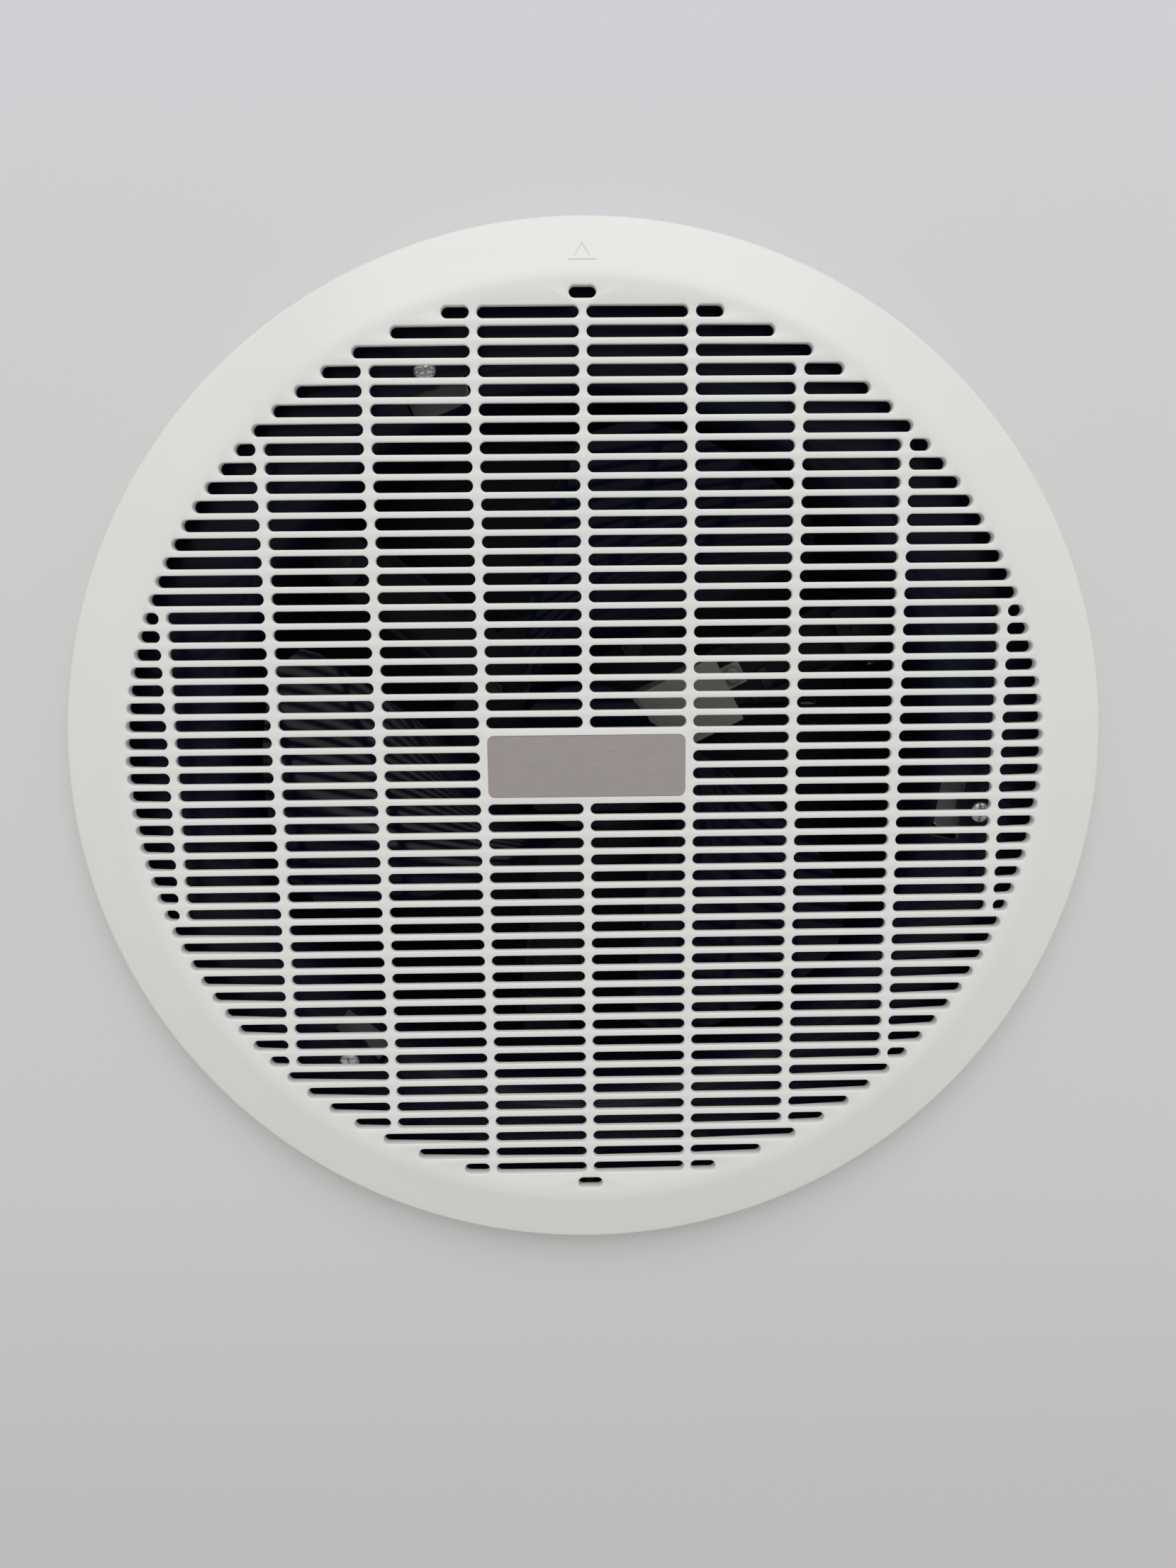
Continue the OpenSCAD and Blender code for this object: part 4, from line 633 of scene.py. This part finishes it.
def slotted_plate():
    """The flat middle of the fascia, with its slots cut and an opening where the recess sits."""
    slots = slot_list()
    points = mesh_object("slot_places", [(x, y, 0) for x, y, _ in slots], [])
    reach = points.data.attributes.new("reach", "FLOAT", "POINT")
    for i, s in enumerate(slots):
        reach.data[i].value = s[2] * MM
    return run_tree("slotted_plate", points, slot_tree(), {
        "Slot Height": SLOT_H * MM, "Lip": SLOT_LIP * MM, "Front": FACE_Z * MM,
        "Thickness": (BACK_Z - FACE_Z) * MM, "Plate Radius": PLATE_R * MM,
        "Plate Points": FASCIA_STEPS, "Slot Points": SLOT_STEPS,
        "Recess Width": RECESS_W * MM, "Recess Height": RECESS_H * MM,
        "Recess Corner": RECESS_CORNER * MM, "Corner Points": CORNER_STEPS,
        "Border Thickness": BORDER_THICK * MM, "Slope Start": SLOPE_R * MM, "Slope End": FIELD_R * MM,
        "Material": WHITE})


def rim_z(r):
    """Height of the sloping border's outer face."""
    return BEND_Z + (r - BEND_R) * math.tan(BORDER_TILT)


def rim():
    """The sloping border of the fascia, its rounded edge, its wall and its inner face."""
    bend = (BEND_R - PLATE_R) / math.sin(BORDER_TILT)
    outer = [(PLATE_R + bend * math.sin(t), FACE_Z + bend * (1 - math.cos(t)))
             for t in [BORDER_TILT * i / 5 for i in range(6)]]
    edge_r = FASCIA_R - EDGE_ROUND
    edge_z = rim_z(edge_r) + EDGE_ROUND / math.cos(BORDER_TILT)
    outer += [(r, rim_z(r)) for r in [BEND_R + (edge_r - BEND_R) * i / 4 for i in range(1, 4)]]
    outer += [(edge_r + EDGE_ROUND * math.cos(t), edge_z + EDGE_ROUND * math.sin(t))
              for t in [(BORDER_TILT - math.pi / 2) * (1 - i / 7) for i in range(8)]]
    wall_r = FASCIA_R - WALL
    # The wall's top is rounded on the outside and bevelled on the inside
    top = [(FASCIA_R, WALL_TOP - 0.6), (FASCIA_R - 0.25, WALL_TOP - 0.15), (FASCIA_R - 0.7, WALL_TOP),
           (wall_r + 0.4, WALL_TOP), (wall_r, WALL_TOP - 0.4)]
    inner = [(wall_r, rim_z(wall_r) + WALL / math.cos(BORDER_TILT)), (PLATE_R, BACK_Z + BORDER_THICK)]
    return mesh_object("rim", *lathe(outer + top + inner, FASCIA_STEPS))


def recess():
    """Walls and floor of the nameplate's recess."""
    w, h, r = RECESS_W / 2, RECESS_H / 2, RECESS_CORNER
    loop = []
    for cx, cy, start in ((w - r, h - r, 0), (r - w, h - r, 90), (r - w, r - h, 180), (w - r, r - h, 270)):
        for i in range(CORNER_STEPS + 1):
            a = math.radians(start + 90 * i / CORNER_STEPS)
            loop.append((cx + r * math.cos(a), cy + r * math.sin(a)))
    n = len(loop)
    verts = [(x, y, z) for z in (FACE_Z, FACE_Z + RECESS_DEPTH) for x, y in loop]
    faces = [(i, (i + 1) % n, n + (i + 1) % n, n + i) for i in range(n)]
    faces.append(tuple(range(2 * n - 1, n - 1, -1)))
    return mesh_object("recess", verts, faces)


def triangle():
    """A raised triangular outline on the border, above the upper release slot."""
    centre = Vector((0.0, MARK_MID_Y))
    corners = [Vector(c) for c in ((-RELEASE_W / 2, MARK_BASE_Y), (RELEASE_W / 2, MARK_BASE_Y),
                                   (0.0, MARK_TIP_Y))]
    verts = []
    for size, lift in ((1.0, -MARK_PROUD), (1.0, MARK_SUNK),
                       (MARK_INNER, MARK_SUNK), (MARK_INNER, -MARK_PROUD)):
        for c in corners:
            x, y = centre + (c - centre) * size
            verts.append((x, y, rim_z(math.hypot(x, y)) + lift))
    faces = [(3 * i + j, 3 * i + (j + 1) % 3, 3 * ((i + 1) % 4) + (j + 1) % 3, 3 * ((i + 1) % 4) + j)
             for i in range(4) for j in range(3)]
    obj = mesh_object("triangle", verts, faces)
    seal(obj)
    return obj


def back_details():
    """Ribs behind the upright bars, the centring ring, the clips' pads and the seats."""
    rows = [(i + 0.5) * ROW_PITCH for i in range(HALF_ROWS)]
    parts = []
    for k in range(last_bar(rows[0]) + 1):
        reach = max(y for y in rows if last_bar(y) >= k) + SLOT_H / 2
        for x in (k * COL_PITCH, -k * COL_PITCH) if k else (0.0,):
            parts.append(block((x - RIB_T / 2, -reach, BACK_Z - RIB_SUNK),
                               (x + RIB_T / 2, reach, BACK_Z + RIB_DEPTH)))
    foot = rim_z(RING_OUT) + BORDER_SUNK
    parts.append(lathe([(RING_IN, foot), (RING_IN, RING_TOP - 0.3), (RING_IN + 0.3, RING_TOP),
                        (RING_OUT - 0.3, RING_TOP), (RING_OUT, RING_TOP - 0.3), (RING_OUT, foot)],
                       FASCIA_STEPS, closed=True))
    for near, far in ((PAD_IN, PAD_OUT), (-PAD_OUT, -PAD_IN)):
        parts.append(block((-PAD_HALF_W, near, rim_z(PAD_OUT) + BORDER_SUNK), (PAD_HALF_W, far, PAD_TOP)))
    foot = rim_z(SEAT_AT + SEAT_R) + BORDER_SUNK
    for k in range(SEATS):
        a = 2 * math.pi * k / SEATS
        parts.append(lathe([(AXIS_R, foot), (SEAT_R, foot), (SEAT_R, SEAT_TOP - 0.4),
                            (SEAT_R - 0.4, SEAT_TOP), (AXIS_R, SEAT_TOP)],
                           SEAT_STEPS, centre=(SEAT_AT * math.cos(a), SEAT_AT * math.sin(a))))
    obj = mesh_object("fascia_back", *gather(parts))
    seal(obj)
    return obj


fascia_back = back_details()
fascia = joined("fascia", [slotted_plate(), rim(), recess(), triangle()])
seal(fascia, 0.01, outward=False)
shade_smooth(fascia, 50.0)
shade_smooth(fascia_back, 40.0)
for o in (fascia, fascia_back):
    dress(o, WHITE)
    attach(o, "fascia")
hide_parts("grille")


# The ceiling, the light and the camera

def ceiling():
    """The painted underside of the ceiling. It stops at the flange, so that light from above reaches that."""
    paint = bpy.data.materials.new("ceiling_paint")
    paint.use_nodes = True
    t = Tree(paint.node_tree)
    shader = paint.node_tree.nodes["Principled BSDF"]
    place = t.add("ShaderNodeTexCoord").outputs["Object"]
    # Painted light and shade: the colour is lighter and cooler on the near side of the ceiling, where the
    # room's light falls, and darker and warmer on the far side
    along = t.add("ShaderNodeSeparateXYZ", {0: place}).outputs["Y"]
    painted_light_ramp = t.add("ShaderNodeValToRGB", {0: t.remap(along, -0.25, 0.29)})
    painted_light_tones = painted_light_ramp.color_ramp.elements
    painted_light_tones[0].color = (0.735, 0.730, 0.775, 1)
    painted_light_tones[1].color = (0.660, 0.640, 0.648, 1)
    painted_light_tones.new(0.24).color = (0.720, 0.722, 0.722, 1)
    painted_light_tones.new(0.74).color = (0.708, 0.708, 0.700, 1)
    t.fill(shader, {"Base Color": painted_light_ramp.outputs[0], "Roughness": 0.9,
                    "Normal": t.bump(t.noise(place, 350.0, 4.0), 0.06, 0.4 * MM)})
    # Nothing of it is seen from above, where the housing is
    clear = t.add("ShaderNodeBsdfTransparent").outputs[0]
    above = t.add("ShaderNodeNewGeometry").outputs["Backfacing"]
    surface = t.add("ShaderNodeMixShader", {0: above, 1: shader.outputs[0], 2: clear}).outputs[0]
    t.fill(paint.node_tree.nodes["Material Output"], {"Surface": surface})
    o = mesh_object("ceiling", *lathe([(CEILING_IN, CEILING_Z), (CEILING_OUT, CEILING_Z)], CEILING_STEPS))
    dress(o, paint)


def lamp(name, place, target, size, power, color=(1, 1, 1)):
    """A round lamp, placed and sized in metres."""
    data = bpy.data.lights.new(name, "AREA")
    data.shape = "DISK"
    data.size = size
    data.energy = power
    data.color = color
    obj = put(name, data)
    obj.location = place
    obj.rotation_euler = (Vector(target) - Vector(place)).to_track_quat("-Z", "Y").to_euler()


def room_light():
    """The light of the room below the ceiling, and a dimmer one in the roof space above it."""
    world = bpy.data.worlds.new("room_light")
    scene.world = world
    world.use_nodes = True
    t = Tree(world.node_tree)
    below = world.node_tree.nodes["Background"]
    t.fill(below, {"Color": (1.0, 0.997, 0.99, 1), "Strength": 0.54})
    above = t.add("ShaderNodeBackground", {"Color": (0.95, 0.97, 1.0, 1), "Strength": 0.24})
    heading = t.add("ShaderNodeTexCoord").outputs["Generated"]
    up = t.add("ShaderNodeSeparateXYZ", {0: heading}).outputs["Z"]
    cast = t.add("ShaderNodeMixShader", {0: t.remap(up, -0.1, 0.1), 1: below.outputs[0], 2: above.outputs[0]})
    # What the camera sees is pale, except straight up, where the dark roof space is
    seen = t.add("ShaderNodeBackground", {"Strength": t.remap(up, 0.82, 0.90, 0.62, 0.001)})
    ray = t.add("ShaderNodeLightPath").outputs
    direct = t.maths("MAXIMUM", ray["Is Camera Ray"], ray["Is Transmission Ray"])
    both = t.add("ShaderNodeMixShader", {0: direct, 1: cast.outputs[0], 2: seen.outputs[0]})
    t.fill(world.node_tree.nodes["World Output"], {"Surface": both.outputs[0]})


def camera():
    """The camera looks up at the ceiling from the photograph's place."""
    data = bpy.data.cameras.new("camera")
    data.sensor_width = 36.0
    data.sensor_fit = "AUTO"
    data.lens = 29.115
    data.clip_start = 0.01
    right = Vector((0.999833, 0.008815, -0.015997))
    up = Vector((0.011618, -0.982743, 0.184614))
    back = Vector((-0.014093, -0.184769, -0.982681))
    turn = Matrix((right, up, back)).transposed().to_4x4()
    obj = put("camera", data)
    obj.matrix_world = Matrix.Translation(Vector((-5.7, -73.6, -440.3)) * MM) @ turn
    scene.camera = obj


ceiling()
lamp("window", (0.1, -2.35, -2.25), (0, 0, 0), 3.1, 52.5, (1.0, 0.998, 0.99))
lamp("roof_side", (0.9, 0.9, 1.6), (0, 0, 0.06), 1.2, 15.0)
room_light()
camera()
scene.view_settings.view_transform = "Standard"
